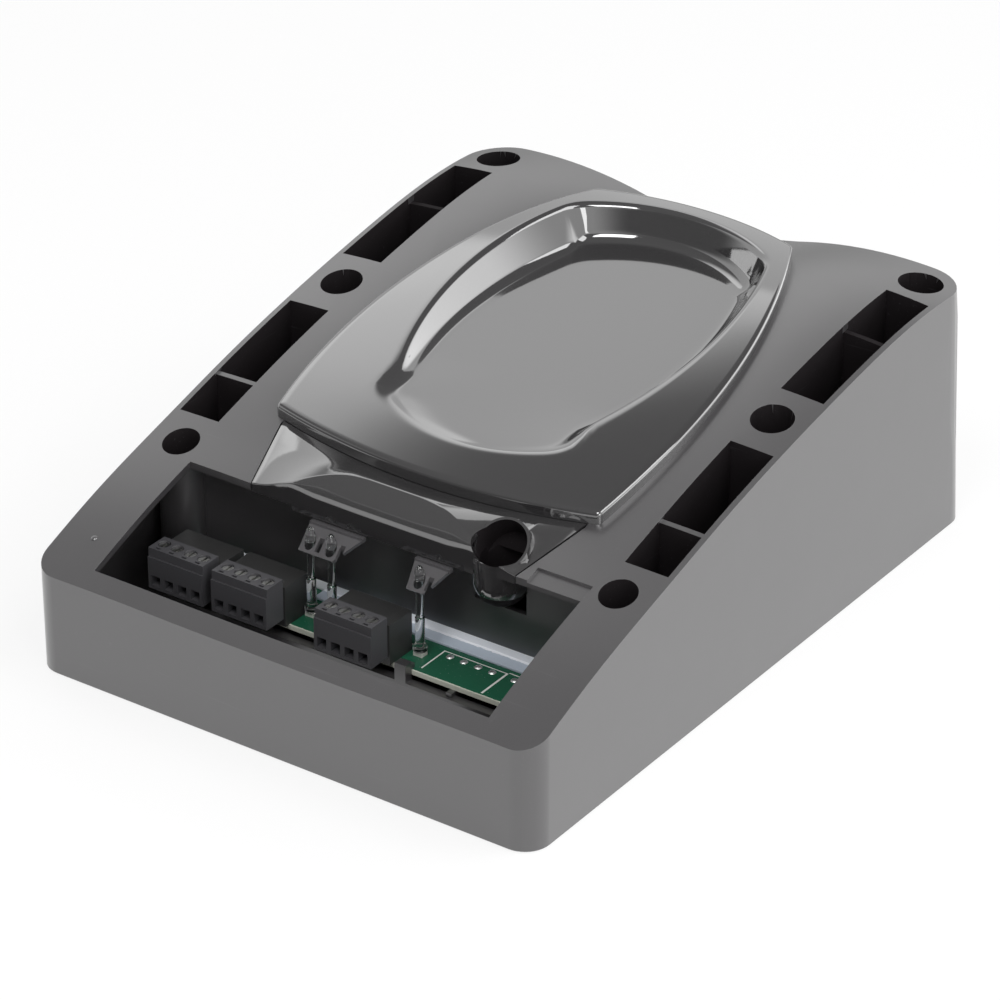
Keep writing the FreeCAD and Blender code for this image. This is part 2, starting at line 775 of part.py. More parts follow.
def apron_wire(x):
    half, outer = number("apron_half_width"), number("apron_top_half")
    crest_y, crest_z = number("apron_crest"), number("apron_crest_height")
    lip_y, lip_z = number("bay_back"), number("apron_lip_height")
    gap = number("fit_gap")
    share = min(abs(x) / half, 1.0)
    bulge = number("lens_near_bulge")
    rear_y = number("lens_near") - bulge * (1 - (x / number("lens_near_half")) ** 2) - gap
    rear_z = edge_height(rear_y) + 0.5
    wall = number("apron_wall")
    if abs(x) < half:
        lip_top = edge_height(lip_y)
        crest = (crest_y + (lip_y + 0.8 - crest_y) * share ** 2.2, crest_z + (lip_top + 0.6 - crest_z) * share ** 2.4)
        lip = (lip_y, lip_z + (lip_top - 1.0 - lip_z) * share ** 2)
    else:
        front_y = lip_y + (abs(x) - half) * (number("apron_top") - lip_y) / (outer - half)
        front_z = edge_height(front_y)
        crest = ((front_y + 0.8), front_z + 0.6)
        lip = (front_y, front_z - 1.0)
    top = [(rear_y, rear_z), crest, lip]
    under = [(lip[0] + wall * 0.55, lip[1] - 0.8), (crest[0] + wall * 0.7, crest[1] - wall), (rear_y, rear_z - wall)]
    points = [Vector(x, y, z) for y, z in top + under]
    return Part.makePolygon(points + points[:1])


def leaning(label, radius, length, start):
    """A round bar along the sight line, which leans forward by half a right angle."""
    piece = doc.addObject("Part::Cylinder", label)
    piece.setExpression("Radius", tie(radius))
    piece.setExpression("Height", tie(length))
    piece.Placement = Placement(Vector(), Rotation(Vector(1, 0, 0), 45))
    piece.setExpression("Placement.Base.x", tie("sight_hole_x"))
    piece.setExpression("Placement.Base.y", tie(f"sight_hole_y - 0.7071 * ({start})"))
    piece.setExpression("Placement.Base.z", tie(f"sight_hole_height + 0.7071 * ({start})"))
    return piece


def ball(label, radius, height):
    piece = doc.addObject("Part::Sphere", label)
    piece.setExpression("Radius", tie(radius))
    for axis, text in (("x", "sight_hole_x"), ("y", "sight_hole_y"), ("z", height)):
        piece.setExpression(f"Placement.Base.{axis}", tie(text))
    return piece


def make_apron():
    half = number("apron_half_width")
    side = number("apron_top_half - fit_gap")
    places = [-side] + [-half * step for step in APRON_STEPS] + [0.0]
    places += [-place for place in reversed(places[:-1])]
    visor = loft("visor", [apron_wire(x) for x in places], True)
    x, y = "sight_hole_x", "sight_hole_y"
    bottom = "sight_tube_bottom + sight_hole_radius + sight_tube_wall"
    outside = "sight_hole_radius + sight_tube_wall"
    tube = fuse("sight_tube", rod("sight_wall", x, y, bottom, outside, "16"), ball("sight_end", outside, bottom))
    trimmed = cut("sight_trimmed", tube, leaning("sight_face", "40", "60", "-1.2"))
    ring = leaning("sight_collar", "sight_hole_radius + sight_ring", "7.0", "-6.4")
    bore = fuse("sight_bore", rod("sight_well", x, y, bottom, "sight_hole_radius", "4.5"),
                ball("sight_well_end", "sight_hole_radius", bottom),
                leaning("sight_line", "sight_hole_radius", "40", "-7"))
    keep(cut("apron", fuse("apron_whole", visor, trimmed, ring), bore))


# Back plate with the cable opening, board supports and the posts of the optics

def make_back_plate():
    gap = "(side_wall + fit_gap)"
    plate = rounded_block("plate_blank", f"body_width / 2 - {gap}", f"body_length / 2 - {gap}",
                          f"corner_radius - {gap}", "0", "plate_thickness")
    parts = [plate]
    under_board = "board_top - board_thickness"
    for sign in ("-", ""):
        parts.append(rod(f"board_post_{len(parts)}", f"{sign}board_post_x", "board_post_y", "0", "post_radius",
                         under_board))
    parts.append(rod("board_post_middle", "0", "board_post_y", "0", "post_radius", under_board))
    for x in ("-board_half_width + 5", "terminal_2 - 11.1", "terminal_2 + 23.9", "terminal_3 + 33",
              "board_half_width - 5"):
        parts.append(box(f"board_rest_{len(parts)}", f"{x} - 1", f"{x} + 1", "board_front - 2.4", "board_front + 6",
                         "0", under_board))
    parts.append(box("board_rail", "-board_half_width", "board_half_width", "board_front - 3.4",
                     "board_front - fit_gap", "0", "board_top - 3"))
    clip = ("terminal_3 + 14", "terminal_3 + 18")
    parts.append(box("board_clip_stem", *clip, "board_front - 3.4", "board_front - fit_gap", "0",
                     "board_top + 3"))
    parts.append(box("board_clip_nose", *clip, "board_front - 3.4", "board_front + 1.2",
                     "board_top + 0.3", "board_top + 2"))
    for name, low, high in (
        ("near", "pivot_y - frame_inner_half_length - frame_bar - post_gap - post_thickness",
         "pivot_y - frame_inner_half_length - frame_bar - post_gap"),
        ("far", "pivot_y + frame_inner_half_length + frame_bar + post_gap",
         "pivot_y + frame_inner_half_length + frame_bar + post_gap + post_thickness"),
    ):
        parts.append(box(f"pivot_post_{name}", "-7", "7", low, high, "0", "pivot_height"))
        parts.append(rod(f"pivot_eye_{name}", "0", low, "pivot_height", "7", "post_thickness", "Y"))
    for name, low in (("near", "pan_gear_y - 4"), ("far", "pan_gear_y + gear_width + rim_width + 1")):
        parts.append(box(f"wheel_post_{name}", "pan_wheel_x - 5", "pan_wheel_x + 5", low, f"{low} + 3",
                         "0", "pivot_height"))
        parts.append(rod(f"wheel_eye_{name}", "pan_wheel_x", low, "pivot_height", "5", "3", "Y"))
    cuts = [box("cable_cut", "-cable_hole_half_width", "cable_hole_half_width", "cable_hole_front",
                "cable_hole_back", "-1", "plate_thickness + 1")]
    for sign_x in ("-", ""):
        for sign_y in ("-", ""):
            cuts.append(rod(f"wall_screw_{len(cuts)}", f"{sign_x}plate_screw_x", f"{sign_y}plate_screw_y", "-1",
                            "plate_screw_radius", "plate_thickness + 2"))
    far_reach = "2 * frame_inner_half_length + 60"
    cuts.append(rod("pivot_bore", "0", "pivot_y - frame_inner_half_length - 30", "pivot_height",
                    "pivot_radius", far_reach, "Y"))
    cuts.append(rod("wheel_bore", "pan_wheel_x", "pan_gear_y - 10", "pivot_height",
                    "shaft_radius + pivot_clearance", "40", "Y"))
    for x, y in well_places():
        parts.append(rod(f"screw_boss_{len(parts)}", x, y, "0", "post_radius", "well_floor - well_floor_thickness"))
        cuts.append(rod(f"screw_pilot_{len(cuts)}", x, y, "1", "housing_screw_radius", "20"))
    keep(cut("back_plate", fuse("plate_solid", *parts), *cuts))


def make_housing_screws():
    screws = []
    for x, y in well_places():
        count = len(screws)
        shank = rod(f"screw_shank_{count}", x, y, "1", "housing_screw_radius", "well_floor - 1")
        head = rod(f"screw_head_{count}", x, y, "well_floor", "housing_screw_head_radius", "housing_screw_head")
        slot = box(f"screw_slot_{count}", f"{x} - 0.5", f"{x} + 0.5", f"{y} - 5", f"{y} + 5",
                   "well_floor + housing_screw_head - 1", "well_floor + housing_screw_head + 1")
        cross = box(f"screw_cross_{count}", f"{x} - 5", f"{x} + 5", f"{y} - 0.5", f"{y} + 0.5",
                    "well_floor + housing_screw_head - 1", "well_floor + housing_screw_head + 1")
        screws.append(cut(f"housing_screw_{count}", fuse(f"screw_solid_{count}", shank, head), slot, cross))
    keep(group("housing_screws", screws))


# Main board and what is soldered on it

def make_board():
    body = new_body("main_board")
    outline = new_sketch(body, "board_outline", "XY_Plane", "board_top - board_thickness")
    rectangle(outline, "-board_half_width", "board_half_width", "board_front", "board_back")
    pad(body, outline, "board_thickness", "board_pad")
    doc.recompute()
    holes = new_sketch(body, "board_holes", "XY_Plane", "board_top + 1")
    for sign in ("-", ""):
        circle(holes, f"{sign}board_post_x", "board_post_y", "1.4")
    circle(holes, "0", "board_post_y", "1.4")
    for step in ("0", "pitch", "2 * pitch", "3 * pitch", "5.2 * pitch"):
        circle(holes, f"terminal_3 + 19.3 + {step}", "board_front + 12.2", "0.55")
    pocket(body, holes, "board_thickness + 2", "board_drills")
    keep(body)

    gasket = box("board_gasket", "-board_half_width", "board_half_width", "divider_front - 0.1",
                 "divider_front + gasket_depth", "board_top", "board_top + gasket_height")
    keep(gasket)

    screws = []
    for x in ("-board_post_x", "0", "board_post_x"):
        count = len(screws)
        head = rod(f"board_screw_head_{count}", x, "board_post_y", "board_top", "2.6", "1.6")
        slot = box(f"board_screw_slot_{count}", f"{x} - 0.4", f"{x} + 0.4", "board_post_y - 4", "board_post_y + 4",
                   "board_top + 0.9", "board_top + 3")
        shank = rod(f"board_screw_shank_{count}", x, "board_post_y", "board_top - board_thickness", "1.3",
                    "board_thickness")
        screws.append(cut(f"board_screw_{count}", fuse(f"board_screw_solid_{count}", head, shank), slot))
    keep(group("board_screws", screws))


def make_terminal(number_of, centre):
    """A four-way header on the board and the plug that pulls off it towards the cable end."""
    half = "(ways * pitch / 2 + plug_margin)"
    header_half = f"({half} + 0.5)"
    top = "board_top + header_height"
    name = f"terminal_header_{number_of}"
    block = box(f"{name}_block", f"{centre} - {header_half}", f"{centre} + {header_half}",
                "plug_back + slide_clearance", "header_back", "board_top", top)
    cave = box(f"{name}_cave", f"{centre} - {half} + header_wall", f"{centre} + {half} - header_wall", "plug_back - 1",
               "plug_back + plug_tongue + 2 * slide_clearance", "board_top + header_wall + 0.6",
               f"{top} - header_wall - 0.6")
    pin_places = [f"{centre} + ({i} - 1.5) * pitch" for i in range(int(number("ways")))]
    pin_start, pin_height = "plug_back + 2", "board_top + header_height / 2"
    pin_length = "header_back - plug_back - 2"
    holes = [rod(f"{name}_pin_hole_{i}", x, "header_back - 5", pin_height, "pin_radius", "7", "Y")
             for i, x in enumerate(pin_places)]
    keep(cut(name, block, cave, *holes))

    name = f"terminal_plug_{number_of}"
    body = new_body(f"{name}_moulding")
    side = new_sketch(body, f"{name}_side", "YZ_Plane", f"{centre} - {half}")
    bottom = "plug_top - plug_height"
    polygon(side, [
        ("plug_back", bottom), ("plug_front", bottom), ("plug_front", "plug_top - plug_ledge"),
        ("plug_front + plug_step", "plug_top - plug_ledge"), ("plug_front + plug_step", "plug_top"),
        ("plug_back", "plug_top"),
    ])
    pad(body, side, f"2 * {half}", f"{name}_pad")
    tongue = new_sketch(body, f"{name}_tongue", "XY_Plane", "board_top + header_wall + 0.6 + slide_clearance")
    inset = "(header_wall + slide_clearance)"
    rectangle(tongue, f"{centre} - {half} + {inset}", f"{centre} + {half} - {inset}", "plug_back - 1",
              "plug_back + plug_tongue")
    pad(body, tongue, "header_height - 2 * (header_wall + 0.6 + slide_clearance)", f"{name}_tongue_pad")
    first = f"{centre} - 1.5 * pitch"
    screw_y = "(plug_back + plug_front) / 2 + 0.7"
    wells = new_sketch(body, f"{name}_wells", "XY_Plane", "plug_top")
    circle(wells, first, screw_y, "terminal_screw_radius + 0.15")
    repeat(body, pocket(body, wells, "terminal_screw_length + 1", f"{name}_well"), wells, "3 * pitch", "ways",
           f"{name}_well_row")
    tests = new_sketch(body, f"{name}_tests", "XY_Plane", "plug_top")
    rectangle(tests, f"{first} - 0.95", f"{first} + 0.95", "plug_front + plug_step + 0.6", "plug_front + plug_step + 1.4")
    repeat(body, pocket(body, tests, "1.2", f"{name}_test"), tests, "3 * pitch", "ways", f"{name}_test_row")
    entries = new_sketch(body, f"{name}_entries", "XZ_Plane", "-plug_front")
    rectangle(entries, f"{first} - wire_entry / 2", f"{first} + wire_entry / 2", f"{bottom} + 1.2",
              f"{bottom} + 1.2 + wire_entry")
    repeat(body, pocket(body, entries, "5", f"{name}_entry"), entries, "3 * pitch", "ways", f"{name}_entry_row")
    sockets = [rod(f"{name}_socket_{i}", x, f"{pin_start} - 0.3", pin_height, "pin_radius + slide_clearance", "12", "Y")
               for i, x in enumerate(pin_places)]
    keep(cut(name, body, *sockets))

    screws = []
    for i in range(int(number("ways"))):
        x = f"{centre} + ({i} - 1.5) * pitch"
        shank = rod(f"{name}_screw_{i}", x, screw_y, "plug_top - 0.6 - terminal_screw_length",
                    "terminal_screw_radius", "terminal_screw_length")
        slot = box(f"{name}_slot_{i}", f"{x} - 0.35", f"{x} + 0.35", f"{screw_y} - 3", f"{screw_y} + 3",
                   "plug_top - 1.3", "plug_top")
        screws.append(cut(f"{name}_screw_cut_{i}", shank, slot))
    keep(group(f"terminal_screws_{number_of}", screws))
    return [rod(f"{name}_pin_{i}", x, pin_start, pin_height, "pin_radius", pin_length, "Y")
            for i, x in enumerate(pin_places)]


def make_light_pipes():
    lamps = []
    tip, radius = "pipe_tip", "pipe_radius"
    for name, x in (("fault", "pipe_fault"), ("alarm", "pipe_alarm"), ("normal", "pipe_normal")):
        keep(turned(f"light_pipe_{name}", [
            ("0", "pipe_foot - 0.8"), ("pipe_foot_radius", "pipe_foot - 0.8"), ("pipe_foot_radius", "pipe_foot + 0.8"),
            (radius, "pipe_foot + 0.8"), (radius, "pipe_shoulder"), ("pipe_neck_radius", "pipe_shoulder + 0.4"),
            ("pipe_neck_radius", f"{tip} - 5"), (radius, f"{tip} - 4.4"), (radius, f"{tip} - 2"),
            (f"{radius} * 0.7", f"{tip} - 0.6"), (f"{radius} * 0.3", tip), ("0", tip),
        ], x, "pipe_y"))
        base = box(f"lamp_base_{name}", f"{x} - 1.6", f"{x} + 1.6", "pipe_y - 1.4", "pipe_y + 1.4", "board_top",
                   "pipe_foot - 1.4")
        lens = rod(f"lamp_lens_{name}", x, "pipe_y", "board_top", "1.2", "pipe_foot - 0.8 - board_top")
        lamps.append(fuse(f"lamp_{name}", base, lens))
    keep(group("status_lamps", lamps))


def bracket(label, top_low, top_high, low_low, low_high, pipes):
    """A sloping tab under the apron's lip, with a hole for each light pipe and a slot beside it."""
    top_y, top_z = "bay_back - 0.6", "apron_lip_height - 0.6"
    low_y, low_z = "bay_back - 7.4", "apron_lip_height - 7.4"
    corners = [(top_low, top_y, top_z), (top_high, top_y, top_z), (low_high, low_y, low_z), (low_low, low_y, low_z)]
    points = [Vector(number(x), number(y), number(z)) for x, y, z in corners]
    face = Part.Face(Part.makePolygon(points + points[:1]))
    thickness = number("bracket_thickness")
    plate = doc.addObject("Part::Feature", f"{label}_plate")
    plate.Shape = face.extrude(Vector(0, thickness * 0.707, -thickness * 0.707))
    root = box(f"{label}_root", top_low, top_high, "bay_back - 1.2", "bay_back + 0.6",
               "apron_lip_height - 1.8", "apron_lip_height - 0.4")
    holes = [rod(f"{label}_hole_{i}", x, "pipe_y", "30", "pipe_radius + fit_gap", "30") for i, x in enumerate(pipes)]
    slots = [box(f"{label}_slot_{i}", f"{x} + 2.6", f"{x} + 4.4", "pipe_y - 1.6", "pipe_y + 1.6", "30", "60")
             for i, x in enumerate(pipes)]
    return keep(cut(label, fuse(f"{label}_solid", plate, root), *holes, *slots))


def make_switches():
    reset_body = box("reset_switch_case", "reset_x - 3", "reset_x + 3", "reset_y - 3", "reset_y + 3",
                     "board_top", "board_top + 3.4")
    bore = rod("reset_bore", "reset_x", "reset_y", "board_top + 1", "1.85", "4")
    keep(cut("reset_switch", reset_body, bore))
    keep(rod("reset_plunger", "reset_x", "reset_y", "board_top + 1 + reset_travel + 0.3", "1.75", "4.2"))

    dip_half = "(2 * dip_pitch + 0.6)"
    case = box("dip_case", f"dip_x - {dip_half}", f"dip_x + {dip_half}", "dip_y - 3.2", "dip_y + 3.2",
               "board_top", "board_top + 4")
    slots = [box(f"dip_slot_{i}", f"dip_x + ({i} - 1.5) * dip_pitch - 0.7", f"dip_x + ({i} - 1.5) * dip_pitch + 0.7",
                 "dip_y - 2", "dip_y + 2", "board_top + 2.4", "board_top + 5") for i in range(4)]
    keep(cut("dip_switch", case, *slots))
    for i in range(4):
        x = f"dip_x + ({i} - 1.5) * dip_pitch"
        keep(box(f"dip_slider_{i + 1}", f"{x} - 0.6", f"{x} + 0.6", "dip_y - 1.9", "dip_y - 0.3",
                 "board_top + 2.45", "board_top + 4.5"))

    case = box("gain_case", "gain_x - 3.4", "gain_x + 3.4", "gain_y - 3.4", "gain_y + 3.4",
               "board_top", "board_top + 4.2")
    seat = rod("gain_seat", "gain_x", "gain_y", "board_top + 2", "2.4", "4")
    keep(cut("gain_control", case, seat))
    dial = rod("gain_dial", "gain_x", "gain_y", "board_top + 2.1", "2.3", "2.6")
    mark = box("gain_slot", "gain_x - 2", "gain_x + 2", "gain_y - 0.4", "gain_y + 0.4", "board_top + 3.8",
               "board_top + 6")
    keep(cut("gain_rotor", dial, mark))


# Toothed wheels: straight-sided teeth with a little backlash

TOOTH_TIP, TOOTH_ROOT = 0.9, 1.15
TIP_SHARE, MIDDLE_SHARE, ROOT_SHARE = 0.11, 0.22, 0.31


def tooth_ring(radius, pitch_angle, first, count, step_out, module):
    """Points of a row of teeth, as angle and radius pairs; step_out adds the tooth's profile."""
    points = []
    for i in range(count):
        middle = first + i * pitch_angle
        for share, reach in ((-ROOT_SHARE, -TOOTH_ROOT), (-MIDDLE_SHARE, 0.0), (-TIP_SHARE, TOOTH_TIP),
                             (TIP_SHARE, TOOTH_TIP), (MIDDLE_SHARE, 0.0), (ROOT_SHARE, -TOOTH_ROOT)):
            points.append((middle + share * pitch_angle, radius + reach * module * step_out))
    return points


def flat_prism(label, points, place, across, along):
    """A prism on a flat outline; along is the axis of its thickness."""
    corners = [place(a, b) for a, b in points]
    face = Part.Face(Part.makePolygon(corners + corners[:1]))
    piece = doc.addObject("Part::Feature", label)
    piece.Shape = face.extrude(along * across)
    return piece


def polar(centre_a, centre_b, points):
    return [(centre_a + r * math.cos(angle), centre_b + r * math.sin(angle)) for angle, r in points]


def make_optics():
    # pan frame, a ring that turns about the long axis
    inner_x, inner_y, bar = "frame_inner_half_width", "frame_inner_half_length", "frame_bar"
    low, high = "pivot_height - frame_height / 2", "pivot_height + frame_height / 2"
    ring = cut("frame_ring", box("frame_outer", f"-{inner_x} - {bar}", f"{inner_x} + {bar}",
                                 f"pivot_y - {inner_y} - {bar}", f"pivot_y + {inner_y} + {bar}", low, high),
               box("frame_hole", f"-{inner_x}", inner_x, f"pivot_y - {inner_y}", f"pivot_y + {inner_y}",
                   f"{low} - 1", f"{high} + 1"))
    pan_module = 2 * number("pan_wheel_radius") / number("pan_wheel_teeth")
    sector_radius = -number("pan_wheel_x") - number("pan_wheel_radius")
    pitch_angle = pan_module * math.pi / sector_radius
    teeth = 9
    first = math.pi - (teeth - 1) / 2 * pitch_angle
    outline = polar(0.0, number("pivot_height"), tooth_ring(sector_radius, pitch_angle, first, teeth, 1, pan_module))
    inner_edge = -number(f"{inner_x} + {bar}") + 1.0
    height = number("pivot_height")
    outline += [(inner_edge, height - 3.4), (inner_edge, height + 3.4)]
    gear_y = number("pan_gear_y")
    sector = flat_prism("pan_sector", outline, lambda a, b: Vector(a, gear_y + 0.4, b),
                        number("gear_width") - 0.8, Vector(0, 1, 0))
    bores = [
        rod("frame_pan_bore", "0", f"pivot_y - {inner_y} - {bar} - 1", "pivot_height",
            "pivot_radius + pivot_clearance", f"2 * ({inner_y} + {bar} + 1)", "Y"),
        rod("frame_tilt_bore", f"-{inner_x} - {bar} - 1", "pivot_y", "pivot_height", "pivot_radius",
            f"2 * ({inner_x} + {bar} + 1)", "X"),
        rod("frame_shaft_bore", f"{inner_x} - 1", "pivot_y + tilt_sector_radius + tilt_wheel_radius",
            "pivot_height", "shaft_radius + pivot_clearance", f"{bar} + 2", "X"),
    ]
    keep(cut("pan_frame", fuse("frame_solid", ring, sector), *bores))

    pins = []
    for start in (f"pivot_y - {inner_y} - {bar} - post_gap - post_thickness", f"pivot_y + {inner_y} + 0.5"):
        pins.append(rod(f"pan_pin_{len(pins)}", "0", start, "pivot_height", "pivot_radius",
                        f"{bar} + post_gap + post_thickness - 0.5", "Y"))
    keep(group("pan_pivot_pins", pins))
    pins = []
    for start in (f"-{inner_x} - {bar}", "block_half_width - block_wall + 0.2"):
        pins.append(rod(f"tilt_pin_{len(pins)}", start, "pivot_y", "pivot_height", "pivot_radius",
                        f"{inner_x} + {bar} - block_half_width + block_wall - 0.2", "X"))
    keep(group("tilt_pivot_pins", pins))

    # optical block: a tub with two lens tubes, turning about the cross axis
    width, length = "block_half_width", "block_half_length"
    tub = box("block_outer", f"-{width}", width, f"pivot_y - {length}", f"pivot_y + {length}",
              "block_bottom", "block_top")
    barrels = []
    seats = []
    for name, sign in (("far", "+"), ("near", "-")):
        y = f"pivot_y {sign} lens_spacing / 2"
        barrels.append(rod(f"barrel_{name}", "0", y, "block_bottom + block_wall", "lens_radius - 1.5", "60"))
        seats.append(rod(f"seat_{name}", "0", y, "block_top - lens_thickness / 2", "lens_radius + 0.15", "20"))
    sector_teeth = 7
    tilt_module = 2 * number("tilt_wheel_radius") / number("tilt_wheel_teeth")
    tilt_radius = number("tilt_sector_radius")
    tilt_pitch = tilt_module * math.pi / tilt_radius
    first = -(sector_teeth - 1) / 2 * tilt_pitch
    outline = polar(number("pivot_y"), height, tooth_ring(tilt_radius, tilt_pitch, first, sector_teeth, 1, tilt_module))
    outline += [(number("pivot_y") + 4, height + 5), (number("pivot_y") - 5, height + 5),
                (number("pivot_y") - 5, height - 5), (number("pivot_y") + 4, height - 5)]
    block_side = number("block_half_width")
    tilt_sector = flat_prism("tilt_sector", outline, lambda a, b: Vector(block_side - 0.5, a, b), 3.1, Vector(1, 0, 0))
    bore = rod("block_bore", f"-{width} - 6", "pivot_y", "pivot_height", "pivot_radius + pivot_clearance",
               f"2 * {width} + 12", "X")
    keep(cut("optical_block", fuse("block_solid", tub, tilt_sector), *barrels, *seats, bore))

    for name, sign in (("receiver_lens", "+"), ("transmitter_lens", "-")):
        keep(turned(name, [
            ("0", "block_top - lens_thickness / 2"), ("lens_radius", "block_top - lens_thickness / 2"),
            ("lens_radius", "block_top - 1"), ("lens_radius * 0.75", "block_top"),
            ("lens_radius * 0.4", "block_top + lens_thickness / 4"), ("0", "block_top + lens_thickness / 3"),
        ], "0", f"pivot_y {sign} lens_spacing / 2"))
    board = box("optics_board", "-20", "20", f"pivot_y - {length} + 6", f"pivot_y + {length} - 6",
                "block_bottom - 1.6", "block_bottom")
    keep(board)
    for name, sign, size in (("photodiode", "+", "3.4"), ("infrared_emitter", "-", "2.5")):
        y = f"pivot_y {sign} lens_spacing / 2"
        can = rod(f"{name}_can", "0", y, "block_bottom + block_wall", size, "4")
        cap = rod(f"{name}_base", "0", y, "block_bottom + block_wall", f"{size} + 0.8", "1")
        keep(fuse(name, can, cap))

    body = new_body("mirror_wedge")
    side = new_sketch(body, "wedge_side", "YZ_Plane", "mirror_x")
    near = "(pivot_y - block_half_length + 1.5)"
    polygon(side, [(near, "block_top"), (f"{near} + mirror_rise", "block_top"),
                   (f"{near} + mirror_rise", "block_top + mirror_rise")])
    pad(body, side, "mirror_width", "wedge_pad")
    keep(body)
    body = new_body("sight_mirror")
    side = new_sketch(body, "mirror_side", "YZ_Plane", "mirror_x")
    slant = "mirror_thickness * 0.7071"
    polygon(side, [(near, "block_top"), (f"{near} + mirror_rise", "block_top + mirror_rise"),
                   (f"{near} + mirror_rise - {slant}", f"block_top + mirror_rise + {slant}"),
                   (f"{near} - {slant}", f"block_top + {slant}")])
    pad(body, side, "mirror_width", "mirror_pad")
    keep(body)

    make_thumbwheels(pan_module, tilt_module)


def knurled(label, radius, notches, axis_place, thickness, along):
    """A finger rim with shallow notches."""
    points = []
    for i in range(notches):
        for share, inset in ((0.0, 0.0), (0.55, 0.0), (0.65, 0.7), (0.9, 0.7)):
            points.append(((i + share) * 2 * math.pi / notches, radius - inset))
    return flat_prism(label, polar(0, 0, points), axis_place, thickness, along)


def make_thumbwheels(pan_module, tilt_module):
    height = number("pivot_height")
    x = number("pan_wheel_x")
    radius, teeth = number("pan_wheel_radius"), int(number("pan_wheel_teeth"))
    pitch_angle = 2 * math.pi / teeth
    gear_y = number("pan_gear_y")
    ring = tooth_ring(radius, pitch_angle, pitch_angle / 2, teeth, 1, pan_module)
    gear = flat_prism("pan_gear", polar(x, height, ring), lambda a, b: Vector(a, gear_y, b),
                      number("gear_width"), Vector(0, 1, 0))
    rim_y = gear_y + number("gear_width")
    rim = knurled("pan_rim", number("pan_rim_radius"), 26, lambda a, b: Vector(x + a, rim_y, height + b),
                  number("rim_width") - 1, Vector(0, 1, 0))
    shaft = rod("pan_shaft", "pan_wheel_x", "pan_gear_y - 4.6", "pivot_height", "shaft_radius",
                "gear_width + rim_width + 10", "Y")
    keep(fuse("pan_wheel", gear, rim, shaft))

    radius, teeth = number("tilt_wheel_radius"), int(number("tilt_wheel_teeth"))
    pitch_angle = 2 * math.pi / teeth
    y = number("pivot_y + tilt_sector_radius + tilt_wheel_radius")
    ring = tooth_ring(radius, pitch_angle, math.pi + pitch_angle / 2, teeth, 1, tilt_module)
    start = number("block_half_width") + 0.5
    gear = flat_prism("tilt_gear", polar(y, height, ring), lambda a, b: Vector(start, a, b), 3.0, Vector(1, 0, 0))
    rim_x = number("slot_inner + tilt_rim_reach - rim_width")
    rim = knurled("tilt_rim", number("tilt_rim_radius"), 20, lambda a, b: Vector(rim_x, y + a, height + b),
                  number("rim_width"), Vector(1, 0, 0))
    shaft = rod("tilt_shaft", "block_half_width + 1", "pivot_y + tilt_sector_radius + tilt_wheel_radius",
                "pivot_height", "shaft_radius", "slot_inner + tilt_rim_reach - 1 - block_half_width", "X")
    keep(fuse("tilt_wheel", gear, rim, shaft))


make_chassis()
make_lens_cover()
make_apron()
make_back_plate()
make_housing_screws()
make_board()
header_pins = []
for place in (1, 2, 3):
    header_pins += make_terminal(place, f"terminal_{place}")
keep(group("header_pins", header_pins))
make_light_pipes()
bracket("light_pipe_bracket_pair", "pipe_fault - 3.1", "pipe_alarm + 8.9", "pipe_fault - 2.9", "pipe_alarm + 2.1",
        ["pipe_fault", "pipe_alarm"])
bracket("light_pipe_bracket_single", "pipe_normal - 4.6", "pipe_normal + 8.2", "pipe_normal - 3.2",
        "pipe_normal + 2.8", ["pipe_normal"])
make_switches()
make_optics()
doc.recompute()

# Every feature is sound before anything is written

for item in doc.Objects:
    if {"Invalid", "Error"} & set(item.State):
        raise RuntimeError(f"{item.Label} is not sound: {item.State}")

os.makedirs("parts", exist_ok=True)
for node in nodes:
    shape = node.Shape
    if shape.isNull() or not shape.isValid() or not shape.Solids:
        raise RuntimeError(f"{node.Label} has no valid solid")
    shape.exportStep(f"parts/{node.Label}.step")
    size = shape.BoundBox
    print(f"{node.Label:28s} solids {len(shape.Solids):2d}  volume {shape.Volume:10.1f}  "
          f"x {size.XMin:7.1f} {size.XMax:7.1f}  y {size.YMin:7.1f} {size.YMax:7.1f}  z {size.ZMin:6.1f} {size.ZMax:6.1f}")
print("nodes", len(nodes))
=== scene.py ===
# %% [markdown]
# # A beam smoke detector, lying on its back
# The detector is a long black box with a saddle-shaped top. A glossy cover with a dished tray sits on
# the saddle, and the wiring bay at the thin end is open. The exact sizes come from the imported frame, so
# every piece below is modelled straight into its place and only the looks are decided here.

# %% Load the frame
import json
import math

import bmesh
import bpy
import numpy as np
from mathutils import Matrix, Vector
from mathutils.bvhtree import BVHTree

